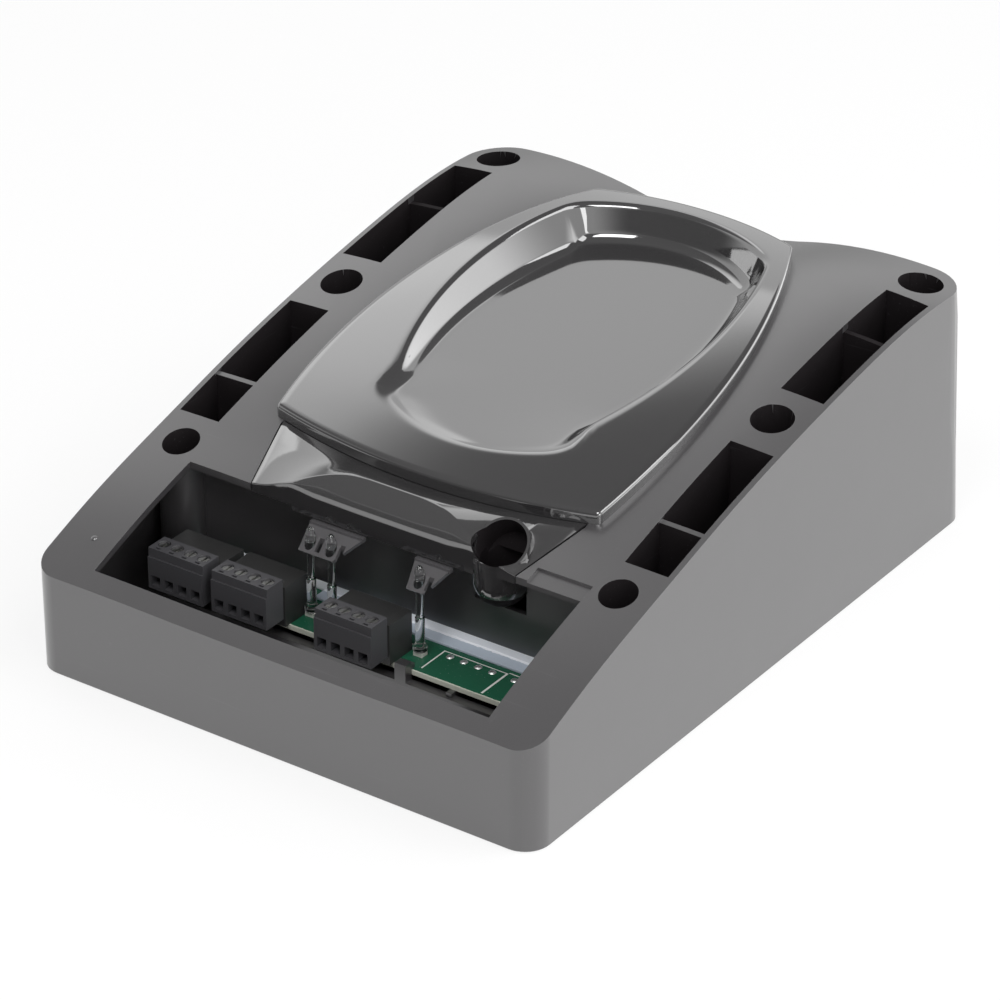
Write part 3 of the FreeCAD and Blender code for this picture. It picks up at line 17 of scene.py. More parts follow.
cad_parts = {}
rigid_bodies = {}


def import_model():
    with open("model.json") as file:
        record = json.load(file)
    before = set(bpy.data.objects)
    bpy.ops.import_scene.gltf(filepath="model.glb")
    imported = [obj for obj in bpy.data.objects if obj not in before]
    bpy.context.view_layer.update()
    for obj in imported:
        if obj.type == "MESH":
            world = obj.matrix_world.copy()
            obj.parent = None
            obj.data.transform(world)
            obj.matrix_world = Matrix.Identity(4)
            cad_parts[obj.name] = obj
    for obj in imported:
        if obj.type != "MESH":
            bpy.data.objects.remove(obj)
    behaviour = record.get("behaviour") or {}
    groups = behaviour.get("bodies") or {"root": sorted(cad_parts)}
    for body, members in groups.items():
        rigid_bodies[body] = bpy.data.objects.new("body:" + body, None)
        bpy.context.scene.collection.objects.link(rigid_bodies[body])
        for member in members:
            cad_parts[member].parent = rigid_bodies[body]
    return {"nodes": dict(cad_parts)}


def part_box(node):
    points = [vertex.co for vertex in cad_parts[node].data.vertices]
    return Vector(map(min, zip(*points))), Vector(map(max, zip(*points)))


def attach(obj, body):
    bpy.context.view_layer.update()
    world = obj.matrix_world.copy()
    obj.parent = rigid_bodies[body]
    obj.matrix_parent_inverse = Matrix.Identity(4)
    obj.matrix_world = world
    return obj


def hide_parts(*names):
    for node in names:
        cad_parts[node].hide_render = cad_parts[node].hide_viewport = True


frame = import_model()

MM = 0.001
nodes = frame["nodes"]
for thing in list(bpy.data.objects):
    if thing.name in ("Cube", "Light", "Camera"):
        bpy.data.objects.remove(thing)
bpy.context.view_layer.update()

# %% [markdown]
# ## Working by hand, in code
# Each piece starts as a primitive of the right size in the right place. These short helpers do what a
# modeller does with the mouse: add a block or a rod, pick edges, bevel them, and cut one solid with
# another. They work in millimetres and leave the object at the origin with its place in its mesh.

# %% Helpers that add a primitive
def deselect():
    if bpy.context.object and bpy.context.object.mode != "OBJECT":
        bpy.ops.object.mode_set(mode="OBJECT")
    bpy.ops.object.select_all(action="DESELECT")


def settle(name):
    """Name the new primitive and put its place and size in its mesh."""
    piece = bpy.context.object
    piece.name = name
    piece.data.name = name
    bpy.ops.object.transform_apply(location=True, rotation=True, scale=True)
    return piece


def block(name, low, high):
    deselect()
    centre = [(a + b) / 2 * MM for a, b in zip(low, high)]
    size = [(b - a) * MM for a, b in zip(low, high)]
    bpy.ops.mesh.primitive_cube_add(size=1, location=centre, scale=size)
    return settle(name)


TURN = {"X": (0, math.pi / 2, 0), "Y": (math.pi / 2, 0, 0), "Z": (0, 0, 0)}


def rod(name, centre, radius, length, axis="Z", sides=48, tip_radius=None):
    """A cylinder, or a cone where the far end has a radius of its own."""
    deselect()
    far = radius if tip_radius is None else tip_radius
    bpy.ops.mesh.primitive_cone_add(vertices=sides, radius1=radius * MM, radius2=far * MM, depth=length * MM,
                                    location=[c * MM for c in centre], rotation=TURN[axis])
    return settle(name)


# %% Helpers that select, bevel and cut
SAME_PLACE, SAME_LEVEL = 1e-6, 1e-5


def edit(piece, mode="EDGE"):
    deselect()
    bpy.context.view_layer.objects.active = piece
    piece.select_set(True)
    bpy.ops.object.mode_set(mode="EDIT")
    bpy.ops.mesh.select_mode(type=mode)


def pick(piece, test, mode="EDGE"):
    """Enter edit mode with just those edges, faces or vertices selected that pass a test."""
    edit(piece, mode)
    bpy.ops.mesh.select_all(action="DESELECT")
    shape = bmesh.from_edit_mesh(piece.data)
    things = {"EDGE": shape.edges, "FACE": shape.faces, "VERT": shape.verts}[mode]
    for thing in things:
        if test(thing):
            thing.select_set(True)
    bmesh.update_edit_mesh(piece.data)
    return piece


def done():
    bpy.ops.object.mode_set(mode="OBJECT")


def upright(edge):
    one, two = (v.co for v in edge.verts)
    return (one.xy - two.xy).length < SAME_PLACE and abs(one.z - two.z) > SAME_PLACE


def level_at(height):
    """A test for edges that lie at one height."""
    return lambda edge: all(abs(v.co.z - height * MM) < SAME_LEVEL for v in edge.verts)


def bevel_edges(piece, test, radius, steps=3):
    pick(piece, test)
    bpy.ops.mesh.bevel(offset=radius * MM, segments=steps, affect="EDGES", clamp_overlap=True)
    done()
    return piece


def apply_modifier(piece, kind, **settings):
    deselect()
    bpy.context.view_layer.objects.active = piece
    piece.select_set(True)
    modifier = piece.modifiers.new(kind.lower(), kind)
    for key, value in settings.items():
        setattr(modifier, key, value)
    bpy.ops.object.modifier_apply(modifier=modifier.name)
    return piece


def combine(piece, tool, operation):
    apply_modifier(piece, "BOOLEAN", object=tool, operation=operation, solver="EXACT")
    bpy.data.objects.remove(tool)
    return piece


def cut(piece, *tools):
    for tool in tools:
        combine(piece, tool, "DIFFERENCE")
    return piece


def fuse(piece, *tools):
    for tool in tools:
        combine(piece, tool, "UNION")
    return piece


def soften(piece, width, steps=2, angle=40):
    """A small round along every sharp edge, as a mould leaves it."""
    return apply_modifier(piece, "BEVEL", width=width * MM, segments=steps, limit_method="ANGLE",
                          angle_limit=math.radians(angle), harden_normals=False)


def shade(piece, angle=35):
    deselect()
    bpy.context.view_layer.objects.active = piece
    piece.select_set(True)
    bpy.ops.object.shade_smooth_by_angle(angle=math.radians(angle))
    return piece


def place_piece(piece, body, slot, finish, *replaced):
    """Dress a finished piece, hang it on the body it rides on, and hide the solids that it replaces."""
    piece.data.materials.clear()
    piece.data.materials.append(finish)
    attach(piece, body)
    if replaced:
        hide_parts(*replaced)
    print(f"{piece.name}: {len(piece.data.polygons)} faces")
    return piece


# %% [markdown]
# ## Shared effects for the materials
# Moulded plastic is never quite even. Two node groups give that unevenness, each built once and set
# differently in every material: a fine skin on the surface, and faint scratches with specks of dust. They
# put out only values, and the Principled shader stays in each material.

# %% A small kit for node trees
def add_node(tree, kind, place=(0, 0), **settings):
    node = tree.nodes.new(kind)
    node.location = place
    for key, value in settings.items():
        setattr(node, key, value)
    return node


def new_group(name, inputs, outputs):
    """An empty node group with named sockets; inputs are (name, start value) pairs."""
    tree = bpy.data.node_groups.new(name, "ShaderNodeTree")
    for socket, value in inputs:
        kind = "NodeSocketColor" if isinstance(value, tuple) else "NodeSocketFloat"
        made = tree.interface.new_socket(socket, in_out="INPUT", socket_type=kind)
        made.default_value = value
    for socket, kind in outputs:
        tree.interface.new_socket(socket, in_out="OUTPUT", socket_type=kind)
    return tree, add_node(tree, "NodeGroupInput", (-900, 0)), add_node(tree, "NodeGroupOutput", (900, 0))


def math_node(tree, operation, a, b=None, c=None, place=(0, 0), clamp=False):
    node = add_node(tree, "ShaderNodeMath", place, operation=operation, use_clamp=clamp)
    for socket, value in zip(node.inputs, (a, b, c)):
        if value is None:
            continue
        if isinstance(value, (int, float)):
            socket.default_value = value
        else:
            tree.links.new(value, socket)
    return node.outputs[0]


def noise_node(tree, coordinates, scale, detail=2.0, rough=0.5, place=(0, 0), stretch=None):
    """Noise in object space; stretch draws it out along one axis."""
    vector = coordinates
    if stretch:
        mapping = add_node(tree, "ShaderNodeMapping", (place[0] - 200, place[1]))
        mapping.inputs["Scale"].default_value = stretch
        tree.links.new(coordinates, mapping.inputs["Vector"])
        vector = mapping.outputs[0]
    node = add_node(tree, "ShaderNodeTexNoise", place)
    for socket, value in (("Scale", scale), ("Detail", detail), ("Roughness", rough)):
        node.inputs[socket].default_value = value
    tree.links.new(vector, node.inputs["Vector"])
    return node.outputs["Fac"]


def ramp_node(tree, value, low, high, place=(0, 0), smooth=False):
    """Rise from 0 to 1 while a value goes from low to high."""
    ramp = add_node(tree, "ShaderNodeMapRange", place)
    ramp.interpolation_type = "SMOOTHSTEP" if smooth else "LINEAR"
    ramp.inputs["From Min"].default_value = low
    ramp.inputs["From Max"].default_value = high
    tree.links.new(value, ramp.inputs["Value"])
    return ramp.outputs[0]


# %% The skin that a mould leaves: a height for bump and a change of gloss
FINE_GRAIN, BROAD_GRAIN = 2600.0, 55.0


def make_skin_group():
    settings = [("Grain Size", 1.0), ("Gloss Change", 0.05), ("Roughness", 0.3)]
    results = [("Height", "NodeSocketFloat"), ("Roughness", "NodeSocketFloat")]
    tree, start, end = new_group("moulded_skin", settings, results)
    where = add_node(tree, "ShaderNodeTexCoord", (-900, 300)).outputs["Object"]
    fine = noise_node(tree, where, FINE_GRAIN, 3.0, 0.55, (-500, 300))
    broad = noise_node(tree, where, BROAD_GRAIN, 3.0, 0.6, (-500, 0))
    height = math_node(tree, "MULTIPLY", fine, start.outputs["Grain Size"], place=(-200, 300))
    centred = math_node(tree, "SUBTRACT", broad, 0.5, place=(-200, 0))
    change = math_node(tree, "MULTIPLY", centred, start.outputs["Gloss Change"], place=(0, 0))
    rough = math_node(tree, "ADD", change, start.outputs["Roughness"], place=(200, 0), clamp=True)
    tree.links.new(height, end.inputs["Height"])
    tree.links.new(rough, end.inputs["Roughness"])
    return tree


# %% Fine scratches and dust: a mask from 0 to 1
SCRATCH_SCALE, SCRATCH_RANGE = 900.0, (0.70, 0.80)
ALONG_X, ALONG_Y = (0.04, 1.0, 1.0), (1.0, 0.04, 1.0)
SPECK_SCALE, SPECK_RANGE = 1400.0, (0.72, 0.78)


def make_wear_group():
    tree, start, end = new_group("handling_marks", [("Scratches", 0.5), ("Dust", 0.5)],
                                 [("Mask", "NodeSocketFloat")])
    where = add_node(tree, "ShaderNodeTexCoord", (-900, 300)).outputs["Object"]
    long_marks = noise_node(tree, where, SCRATCH_SCALE, 2.0, 0.5, (-400, 400), stretch=ALONG_X)
    cross_marks = noise_node(tree, where, SCRATCH_SCALE, 2.0, 0.5, (-400, 150), stretch=ALONG_Y)
    specks = noise_node(tree, where, SPECK_SCALE, 1.0, 0.4, (-400, -150))
    marks = math_node(tree, "MAXIMUM", long_marks, cross_marks, place=(-150, 300))
    thin = ramp_node(tree, marks, *SCRATCH_RANGE, (50, 300))
    dots = ramp_node(tree, specks, *SPECK_RANGE, (50, -100))
    scratches = math_node(tree, "MULTIPLY", thin, start.outputs["Scratches"], place=(250, 300))
    dust = math_node(tree, "MULTIPLY", dots, start.outputs["Dust"], place=(250, -100))
    both = math_node(tree, "MAXIMUM", scratches, dust, place=(450, 100), clamp=True)
    tree.links.new(both, end.inputs["Mask"])
    return tree


skin_group = make_skin_group()
wear_group = make_wear_group()
print("shared effects:", skin_group.name, wear_group.name)

# %% [markdown]
# ## The finishes
# Nearly everything here is injection-moulded plastic, so one function makes such a material from its
# colour, gloss and marks. The colour is that of the plastic itself, and the light and dark of the
# picture come from what the glossy skin reflects, except for a darker black that is painted shade deep in
# the slots, wells and bore.

# %% What every finish starts from
def base_material(name):
    finish = bpy.data.materials.new(name)
    finish.use_nodes = True
    tree = finish.node_tree
    shader = tree.nodes["Principled BSDF"]
    shader.location = (600, 0)
    tree.nodes["Material Output"].location = (900, 0)
    return finish, tree, shader


def group_node(tree, group, place, **values):
    node = add_node(tree, "ShaderNodeGroup", place, node_tree=group)
    for key, value in values.items():
        node.inputs[key.replace("_", " ")].default_value = value
    return node


def skin_node(tree, rough, change):
    return group_node(tree, skin_group, (-500, -200), Grain_Size=1.0, Gloss_Change=change, Roughness=rough)


def add_grain(tree, skin, shader, depth, *sockets):
    """Bump from the skin's height, as deep as the mould's grain in millimetres."""
    bump = add_node(tree, "ShaderNodeBump", (300, -300))
    bump.inputs["Distance"].default_value = depth * MM
    tree.links.new(skin.outputs["Height"], bump.inputs["Height"])
    for socket in ("Normal", *sockets):
        tree.links.new(bump.outputs["Normal"], shader.inputs[socket])


def colour_mix(tree, factor, first, second, place=(0, 200)):
    """Mix two colours, of which the first may come from a socket."""
    mix = add_node(tree, "ShaderNodeMix", place, data_type="RGBA")
    tree.links.new(factor, mix.inputs["Factor"])
    if isinstance(first, tuple):
        mix.inputs["A"].default_value = (*first, 1.0)
    else:
        tree.links.new(first, mix.inputs["A"])
    mix.inputs["B"].default_value = (*second, 1.0)
    return mix.outputs["Result"]


# %% A moulded plastic
DUST_GREY, MARK_TINT, MARK_DULLNESS = (0.25, 0.25, 0.26), 0.25, 0.2


def plastic(name, colour, rough, change=0.05, grain=0.02, scratches=0.3, dust=0.2, ior=1.5, coat=0.0,
            coat_rough=0.03):
    finish, tree, shader = base_material(name)
    skin = skin_node(tree, rough, change)
    wear = group_node(tree, wear_group, (-500, 200), Scratches=scratches, Dust=dust)
    share = math_node(tree, "MULTIPLY", wear.outputs["Mask"], MARK_TINT, place=(-200, 300))
    tree.links.new(colour_mix(tree, share, colour, DUST_GREY), shader.inputs["Base Color"])
    dull = math_node(tree, "MULTIPLY", wear.outputs["Mask"], MARK_DULLNESS, place=(-200, 0))
    rough_sum = math_node(tree, "ADD", skin.outputs["Roughness"], dull, place=(0, -100), clamp=True)
    tree.links.new(rough_sum, shader.inputs["Roughness"])
    shader.inputs["IOR"].default_value = ior
    add_grain(tree, skin, shader, grain, *(["Coat Normal"] if coat else []))
    if coat:
        shader.inputs["Coat Weight"].default_value = coat
        shader.inputs["Coat Roughness"].default_value = coat_rough
        shader.inputs["Coat IOR"].default_value = ior
    return finish


chassis_black = plastic("chassis_black", (0.033, 0.031, 0.033), 0.36, change=0.08, grain=0.004,
                        coat=1.0, ior=1.7, coat_rough=0.32)
# painted shade: a darker, rougher, less reflective black for the faces deep in the slots, wells and bore
recess_painted_shade = plastic("recess_painted_shade", (0.013, 0.011, 0.012), 0.6, change=0.08, grain=0.01, ior=1.18)
cover_gloss = plastic("cover_gloss", (0.026, 0.025, 0.026), 0.06, change=0.02, grain=0.0006, scratches=0.2,
                      coat=1.0, ior=1.8, coat_rough=0.05)
terminal_black = plastic("terminal_black", (0.058, 0.057, 0.062), 0.42, grain=0.01)
bracket_grey = plastic("bracket_grey", (0.085, 0.082, 0.086), 0.3, grain=0.006)
inner_black = plastic("inner_black", (0.022, 0.021, 0.023), 0.4, grain=0.01)
switch_black = plastic("switch_black", (0.03, 0.03, 0.03), 0.4, grain=0.008)
slider_white = plastic("slider_white", (0.7, 0.7, 0.68), 0.4, grain=0.008)
lamp_white = plastic("lamp_white", (0.6, 0.6, 0.55), 0.35, grain=0.004)
dial_grey = plastic("dial_grey", (0.07, 0.07, 0.075), 0.4, grain=0.01)
foam_blue = plastic("foam_blue", (0.46, 0.52, 0.60), 0.9, grain=0.15, scratches=0.0)
board_green = plastic("board_green", (0.014, 0.095, 0.052), 0.25, grain=0.006, scratches=0.1)
print("plastics:", len(bpy.data.materials))

# %% [markdown]
# The few screws, pins and solder pads are bare metal whose tone varies a little, and the light pipes and
# lenses are clear acrylic that bends the light. Both use the same skin, so that their gloss isn't even.

# %% Metal and clear plastic
METAL_SHADE, TONE_SCALE = 0.8, 300.0


def metal(name, colour, rough):
    finish, tree, shader = base_material(name)
    skin = skin_node(tree, rough, change=0.15)
    where = add_node(tree, "ShaderNodeTexCoord", (-900, 300)).outputs["Object"]
    tone = noise_node(tree, where, TONE_SCALE, 3.0, 0.6, (-500, 300))
    darker = tuple(channel * METAL_SHADE for channel in colour)
    tree.links.new(colour_mix(tree, tone, darker, colour), shader.inputs["Base Color"])
    tree.links.new(skin.outputs["Roughness"], shader.inputs["Roughness"])
    add_grain(tree, skin, shader, 0.01)
    shader.inputs["Metallic"].default_value = 1.0
    return finish


def clear(name, colour, rough, ior=1.49):
    finish, tree, shader = base_material(name)
    skin = skin_node(tree, rough, change=0.03)
    tree.links.new(skin.outputs["Roughness"], shader.inputs["Roughness"])
    add_grain(tree, skin, shader, 0.002)
    shader.inputs["Base Color"].default_value = (*colour, 1.0)
    shader.inputs["Transmission Weight"].default_value = 1.0
    shader.inputs["IOR"].default_value = ior
    return finish


screw_metal = metal("screw_metal", (0.62, 0.62, 0.60), 0.28)
solder_metal = metal("solder_metal", (0.80, 0.81, 0.80), 0.42)
pin_metal = metal("pin_metal", (0.72, 0.68, 0.60), 0.25)
mirror_face = metal("mirror_face", (0.85, 0.85, 0.86), 0.05)
clear_pipe = clear("clear_pipe", (0.96, 0.97, 0.97), 0.04)
lens_acrylic = clear("lens_acrylic", (0.94, 0.95, 0.96), 0.02)

FINISHES = {
    "chassis_plastic": chassis_black, "gloss_cover": cover_gloss, "board_laminate": board_green,
    "foam": foam_blue, "terminal_plastic": terminal_black, "screw_steel": screw_metal,
    "contact_metal": pin_metal, "clear_plastic": clear_pipe, "lamp_body": lamp_white,
    "bracket_plastic": bracket_grey, "switch_plastic": switch_black, "slider_plastic": slider_white,
    "mechanism_plastic": inner_black, "optical_acrylic": lens_acrylic, "mirror_glass": mirror_face,
    "dial_plastic": dial_grey,
}
print("finishes by slot:", len(FINISHES))

# %% [markdown]
# ## The form of the top
# The long edges of the top climb from the thin end to the thick end, and towards the thick end the top
# swells into two shoulders with a trough between them. One function gives that height anywhere. The
# chassis is modelled flat first and then lifted onto it; cover and visor start from the same edge curve.

# %% The climbing edge, as a smooth curve through seven heights
CHASSIS_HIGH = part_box("chassis")[1] / MM
HALF_WIDTH, HALF_LENGTH = CHASSIS_HIGH.x, CHASSIS_HIGH.y
STATION_Y = np.array([-HALF_LENGTH - 1, -92.0, -58.0, -24.0, 44.0, 102.0, HALF_LENGTH + 1])
STATION_Z = np.array([33.4, 45.9, 56.2, 65.7, 79.9, 85.4, 83.6])


def spline_slopes(places, heights):
    """Slopes of the natural cubic curve through some points."""
    count = len(places)
    system, right = np.zeros((count, count)), np.zeros(count)
    gaps = np.diff(places)
    rates = np.diff(heights) / gaps
    system[0, :2], right[0] = (2, 1), 3 * rates[0]
    system[-1, -2:], right[-1] = (1, 2), 3 * rates[-1]
    for i in range(1, count - 1):
        before, after = 1 / gaps[i - 1], 1 / gaps[i]
        system[i, i - 1:i + 2] = before, 2 * (before + after), after
        right[i] = 3 * (rates[i - 1] * before + rates[i] * after)
    return np.linalg.solve(system, right)


STATION_SLOPE = spline_slopes(STATION_Y, STATION_Z)


def edge_height(y):
    i = int(np.clip(np.searchsorted(STATION_Y, y) - 1, 0, len(STATION_Y) - 2))
    gap = STATION_Y[i + 1] - STATION_Y[i]
    t = (y - STATION_Y[i]) / gap
    a, b = STATION_Z[i], STATION_Z[i + 1]
    da, db = STATION_SLOPE[i] * gap, STATION_SLOPE[i + 1] * gap
    return a + da * t + (3 * (b - a) - 2 * da - db) * t ** 2 + (2 * (a - b) + da + db) * t ** 3


# %% The saddle across it
SHOULDER_INSET, SHOULDER_RISE, TROUGH_DEPTH, LEAST_RISE = 25.25, 1.9, 6.0, 0.25
SHOULDER_START, TROUGH_START = -55.0, -20.0


def ease(t):
    """A smooth step from 0 to 1."""
    t = min(max(t, 0.0), 1.0)
    return t * t * (3 - 2 * t)


def swell(most, start, y):
    """How far something has grown that starts at one place and is greatest at the thick end."""
    return max(most * (y - start) / (HALF_LENGTH - start), 0) + LEAST_RISE


def saddle_height(x, y):
    """Height of the chassis top: shoulders beside the cover and a trough under it."""
    shoulder_x = HALF_WIDTH - SHOULDER_INSET
    rise = swell(SHOULDER_RISE, SHOULDER_START, y)
    fall = rise + swell(TROUGH_DEPTH, TROUGH_START, y)
    shoulder_r = (SHOULDER_INSET ** 2 + rise ** 2) / (2 * rise)
    trough_r = (shoulder_x ** 2 + fall ** 2) / (2 * fall) - shoulder_r
    peak = edge_height(y) + rise
    if abs(x) > shoulder_x * trough_r / (trough_r + shoulder_r):
        return peak - shoulder_r + math.sqrt(shoulder_r ** 2 - (abs(x) - shoulder_x) ** 2)
    return peak - fall + trough_r - math.sqrt(trough_r ** 2 - x ** 2)


# %% Compare the curve with the solid chassis
def surface_tree(node):
    shape = bmesh.new()
    shape.from_mesh(nodes[node].data)
    tree = BVHTree.FromBMesh(shape)
    shape.free()
    return tree


chassis_tree = surface_tree("chassis")
SAMPLE_X, SAMPLE_Y, OPENING = (-91.5, -60.0, 0.0, 60.0, 91.5), range(-118, 121, 7), 1.5
worst = 0.0
for y in SAMPLE_Y:
    for x in SAMPLE_X:
        hit = chassis_tree.ray_cast(Vector((x * MM, y * MM, 2 * CHASSIS_HIGH.z * MM)), Vector((0, 0, -1)))[0]
        gap = abs(hit.z / MM - saddle_height(x, y)) if hit else 0.0
        worst = max(worst, gap if gap < OPENING else 0.0)
print("the curve follows the solid top within", round(worst, 2), "mm")

# %% [markdown]
# ## The chassis
# The real chassis is one moulding with upright walls everywhere: the sides, the bay, the slots and the
# screw wells all run straight down the mould. That makes it easiest to model with a flat top: block out
# the shell, add the inner walls, cut every opening, and round the upper edges while they are level.
# Only then is the top divided into small faces and lifted to the saddle, so the walls stay upright.

# %% The outline of the shell, whose thick end leans in
FLAT_TOP = 60.0
LIFTED_ABOVE, WALL_RING = 50.0, 28.0
WALL, SKIN, NEARLY = 2.0, 2.4, 0.01
CORNER, END_CORNER, END_LEAN, END_HEIGHT = 8.5, 13.5, 4.0, 83.6


def body_block(name, inset, low, high):
    """The body's outline: upright walls, but the thick end leans in and its corners grow rounder."""
    half_x, half_y = HALF_WIDTH - inset, HALF_LENGTH - inset
    radius = CORNER - inset
    piece = block(name, (-half_x, -half_y, low), (half_x, half_y, high))
    bevel_edges(piece, upright, radius, 10)
    edit(piece)
    bpy.ops.mesh.select_all(action="SELECT")
    bpy.ops.mesh.bisect(plane_co=(0, 0, WALL_RING * MM), plane_no=(0, 0, 1))
    done()
    for vertex in piece.data.vertices:
        x, y, z = vertex.co / MM
        share = (z if z < LIFTED_ABOVE else z + END_HEIGHT - FLAT_TOP) / END_HEIGHT
        across = (abs(x) - (half_x - radius)) / radius
        along = (y - (half_y - radius)) / radius
        if along > -NEARLY:
            growth = (END_CORNER - CORNER) * share
            drawn = growth * (1 - max(across, 0)) if across > -NEARLY else 0.0
            vertex.co.x = math.copysign(abs(x) - drawn, x) * MM
            vertex.co.y = (y - growth * (1 - along) - END_LEAN * share) * MM
    return piece


# %% Block out the shell and its inner walls
WELL_X, WELL_Y, WELL_FLOOR_RADIUS, WELL_TAPER = 80.8, (-63.3, 19.4, 106.3), 4.15, 0.0413
WELL_FLOOR, WELL_WALL, WELL_UNDER, SCREW_HOLE = 12.0, 1.4, 3.0, 2.3
SLOT_INNER, SLOT_OUTER = 75.2, HALF_WIDTH - 1.9
SLOTS = ((-51.7, 5.0, -32.4, 0.9), (32.9, 94.8, 70.2, 2.3))
SLOT_WALL, SLOT_FLOOR = 1.6, 10.0
DIVIDER, DIVIDER_FOOT = (-61.0, -59.0), 21.4
chassis = body_block("chassis_moulding", 0, 0, FLAT_TOP)
cut(chassis, body_block("cavity", WALL, -1, FLAT_TOP - SKIN))
TOP_INSIDE = FLAT_TOP - SKIN / 2
CASE_LOW = WELL_FLOOR - WELL_UNDER
WELL_MOUTH = {y: WELL_FLOOR_RADIUS + WELL_TAPER * (saddle_height(WELL_X, y) - WELL_FLOOR) for y in WELL_Y}
for side in (-1, 1):
    for start, end, rib, depth in SLOTS:
        inner, outer = sorted((side * (SLOT_INNER - SLOT_WALL), side * (HALF_WIDTH - WALL / 2)))
        fuse(chassis, block("slot_case", (inner, start - SLOT_WALL, SLOT_FLOOR - SLOT_WALL),
                            (outer, end + SLOT_WALL, TOP_INSIDE)))
    for y in WELL_Y:
        fuse(chassis, rod("well_case", (side * WELL_X, y, (CASE_LOW + TOP_INSIDE) / 2),
                          WELL_MOUTH[y] + WELL_WALL, TOP_INSIDE - CASE_LOW))
fuse(chassis, block("divider", (-HALF_WIDTH + WALL / 2, DIVIDER[0], DIVIDER_FOOT),
                    (HALF_WIDTH - WALL / 2, DIVIDER[1], TOP_INSIDE)))
print("shell:", len(chassis.data.polygons), "faces")

# %% An upright block on any outline
def outline_block(name, points, low, high):
    """A circle primitive whose corners are moved onto the outline, then extruded."""
    deselect()
    bpy.ops.mesh.primitive_circle_add(vertices=len(points), fill_type="NGON", radius=0.01)
    piece = settle(name)
    for vertex, (x, y) in zip(piece.data.vertices, points):
        vertex.co = (x * MM, y * MM, low * MM)
    edit(piece, "FACE")
    bpy.ops.mesh.select_all(action="SELECT")
    bpy.ops.mesh.extrude_region_move(TRANSFORM_OT_translate={"value": (0, 0, (high - low) * MM)})
    bpy.ops.mesh.select_all(action="SELECT")
    bpy.ops.mesh.normals_make_consistent(inside=False)
    done()
    return piece


def arc_centre(start, end, bulge):
    """Centre and radius of an arc that bulges to the right of the way from start to end."""
    start, end = Vector(start), Vector(end)
    chord = end - start
    radius = ((chord.length / 2) ** 2 + bulge ** 2) / (2 * bulge)
    outward = Vector((chord.y, -chord.x)).normalized()
    return (start + end) / 2 + outward * (bulge - radius), radius


def turn_points(centre, start, end, steps):
    """Points from start towards end on a circle, counterclockwise, with the end left out."""
    first, last = start - centre, end - centre
    turn = (math.atan2(last.y, last.x) - math.atan2(first.y, first.x)) % (2 * math.pi)
    angles = [turn * i / steps for i in range(steps)]
    return [(centre.x + first.x * math.cos(a) - first.y * math.sin(a),
             centre.y + first.x * math.sin(a) + first.y * math.cos(a)) for a in angles]


def shield_sides(sizes):
    """The four corners of the cover or its tray from the near left one, and the arcs between them."""
    near_x, near_y, far_x, far_y = (sizes[key] for key in ("near_half", "near", "far_half", "far"))
    places = ((-near_x, near_y), (near_x, near_y), (far_x, far_y), (-far_x, far_y))
    corners = [Vector(place) for place in places]
    bulges = [sizes[key] for key in ("near_bulge", "side_bulge", "far_bulge", "side_bulge")]
    return corners, [arc_centre(corners[i], corners[(i + 1) % 4], bulges[i]) for i in range(4)]


def shield_points(sizes, steps=24):
    """The outline with sharp corners, counterclockwise from the near left one."""
    corners, sides = shield_sides(sizes)
    points = []
    for i in range(4):
        points += turn_points(sides[i][0], corners[i], corners[(i + 1) % 4], steps)
    return points


# %% The outline of the lens cover, from which the window below it is drawn in
LEDGE = 4.0
LENS = dict(near_half=60.0, near=-42.2, near_bulge=7.3, side_bulge=12.3, far_half=37.5, far=100.0,
            far_bulge=7.0)


def inset_shield(sizes, inset):
    shift = dict(near_half=-inset, far_half=-inset, near=inset, far=-inset)
    return {key: value + shift.get(key, 0) for key, value in sizes.items()}


# %% Cut the bay, the window and the gap below the visor
ABOVE = FLAT_TOP + 20
BAY_X, BAY_FRONT, BAY_BACK, BAY_CUT_LOW = 72.4, -116.3, -69.5, 15.0
APRON_HALF, APRON_TOP_HALF, APRON_TOP = 48.7, 56.5, -44.5
WINDOW_LOW, GAP_LOW, RELIEF_LOW = 56.0, 55.0, 50.4
SIGHT_X, SIGHT_Y, SIGHT_GAP_RADIUS = 37.6, -61.0, 9.4
cut(chassis, block("bay_cut", (-BAY_X, BAY_FRONT, BAY_CUT_LOW), (BAY_X, BAY_BACK, ABOVE)))
cut(chassis, outline_block("window_cut", shield_points(inset_shield(LENS, LEDGE)), WINDOW_LOW, ABOVE))
gap_rear = (LENS["near_half"] - LEDGE, LENS["near"] + LEDGE + 1)
gap_half = [(APRON_HALF, BAY_BACK - 1), (APRON_TOP_HALF, APRON_TOP), gap_rear]
gap_outline = gap_half + [(-x, y) for x, y in reversed(gap_half)]
cut(chassis, outline_block("apron_gap", gap_outline, GAP_LOW, ABOVE))
cut(chassis, block("divider_relief", (-APRON_HALF - 1, DIVIDER[0] - 1, RELIEF_LOW),
                   (APRON_HALF + 1, DIVIDER[1] + 1, ABOVE)))
cut(chassis, rod("tube_gap", (SIGHT_X, SIGHT_Y, GAP_LOW), SIGHT_GAP_RADIUS, 2 * (ABOVE - FLAT_TOP)))
print("chassis with its bay:", len(chassis.data.polygons), "faces")

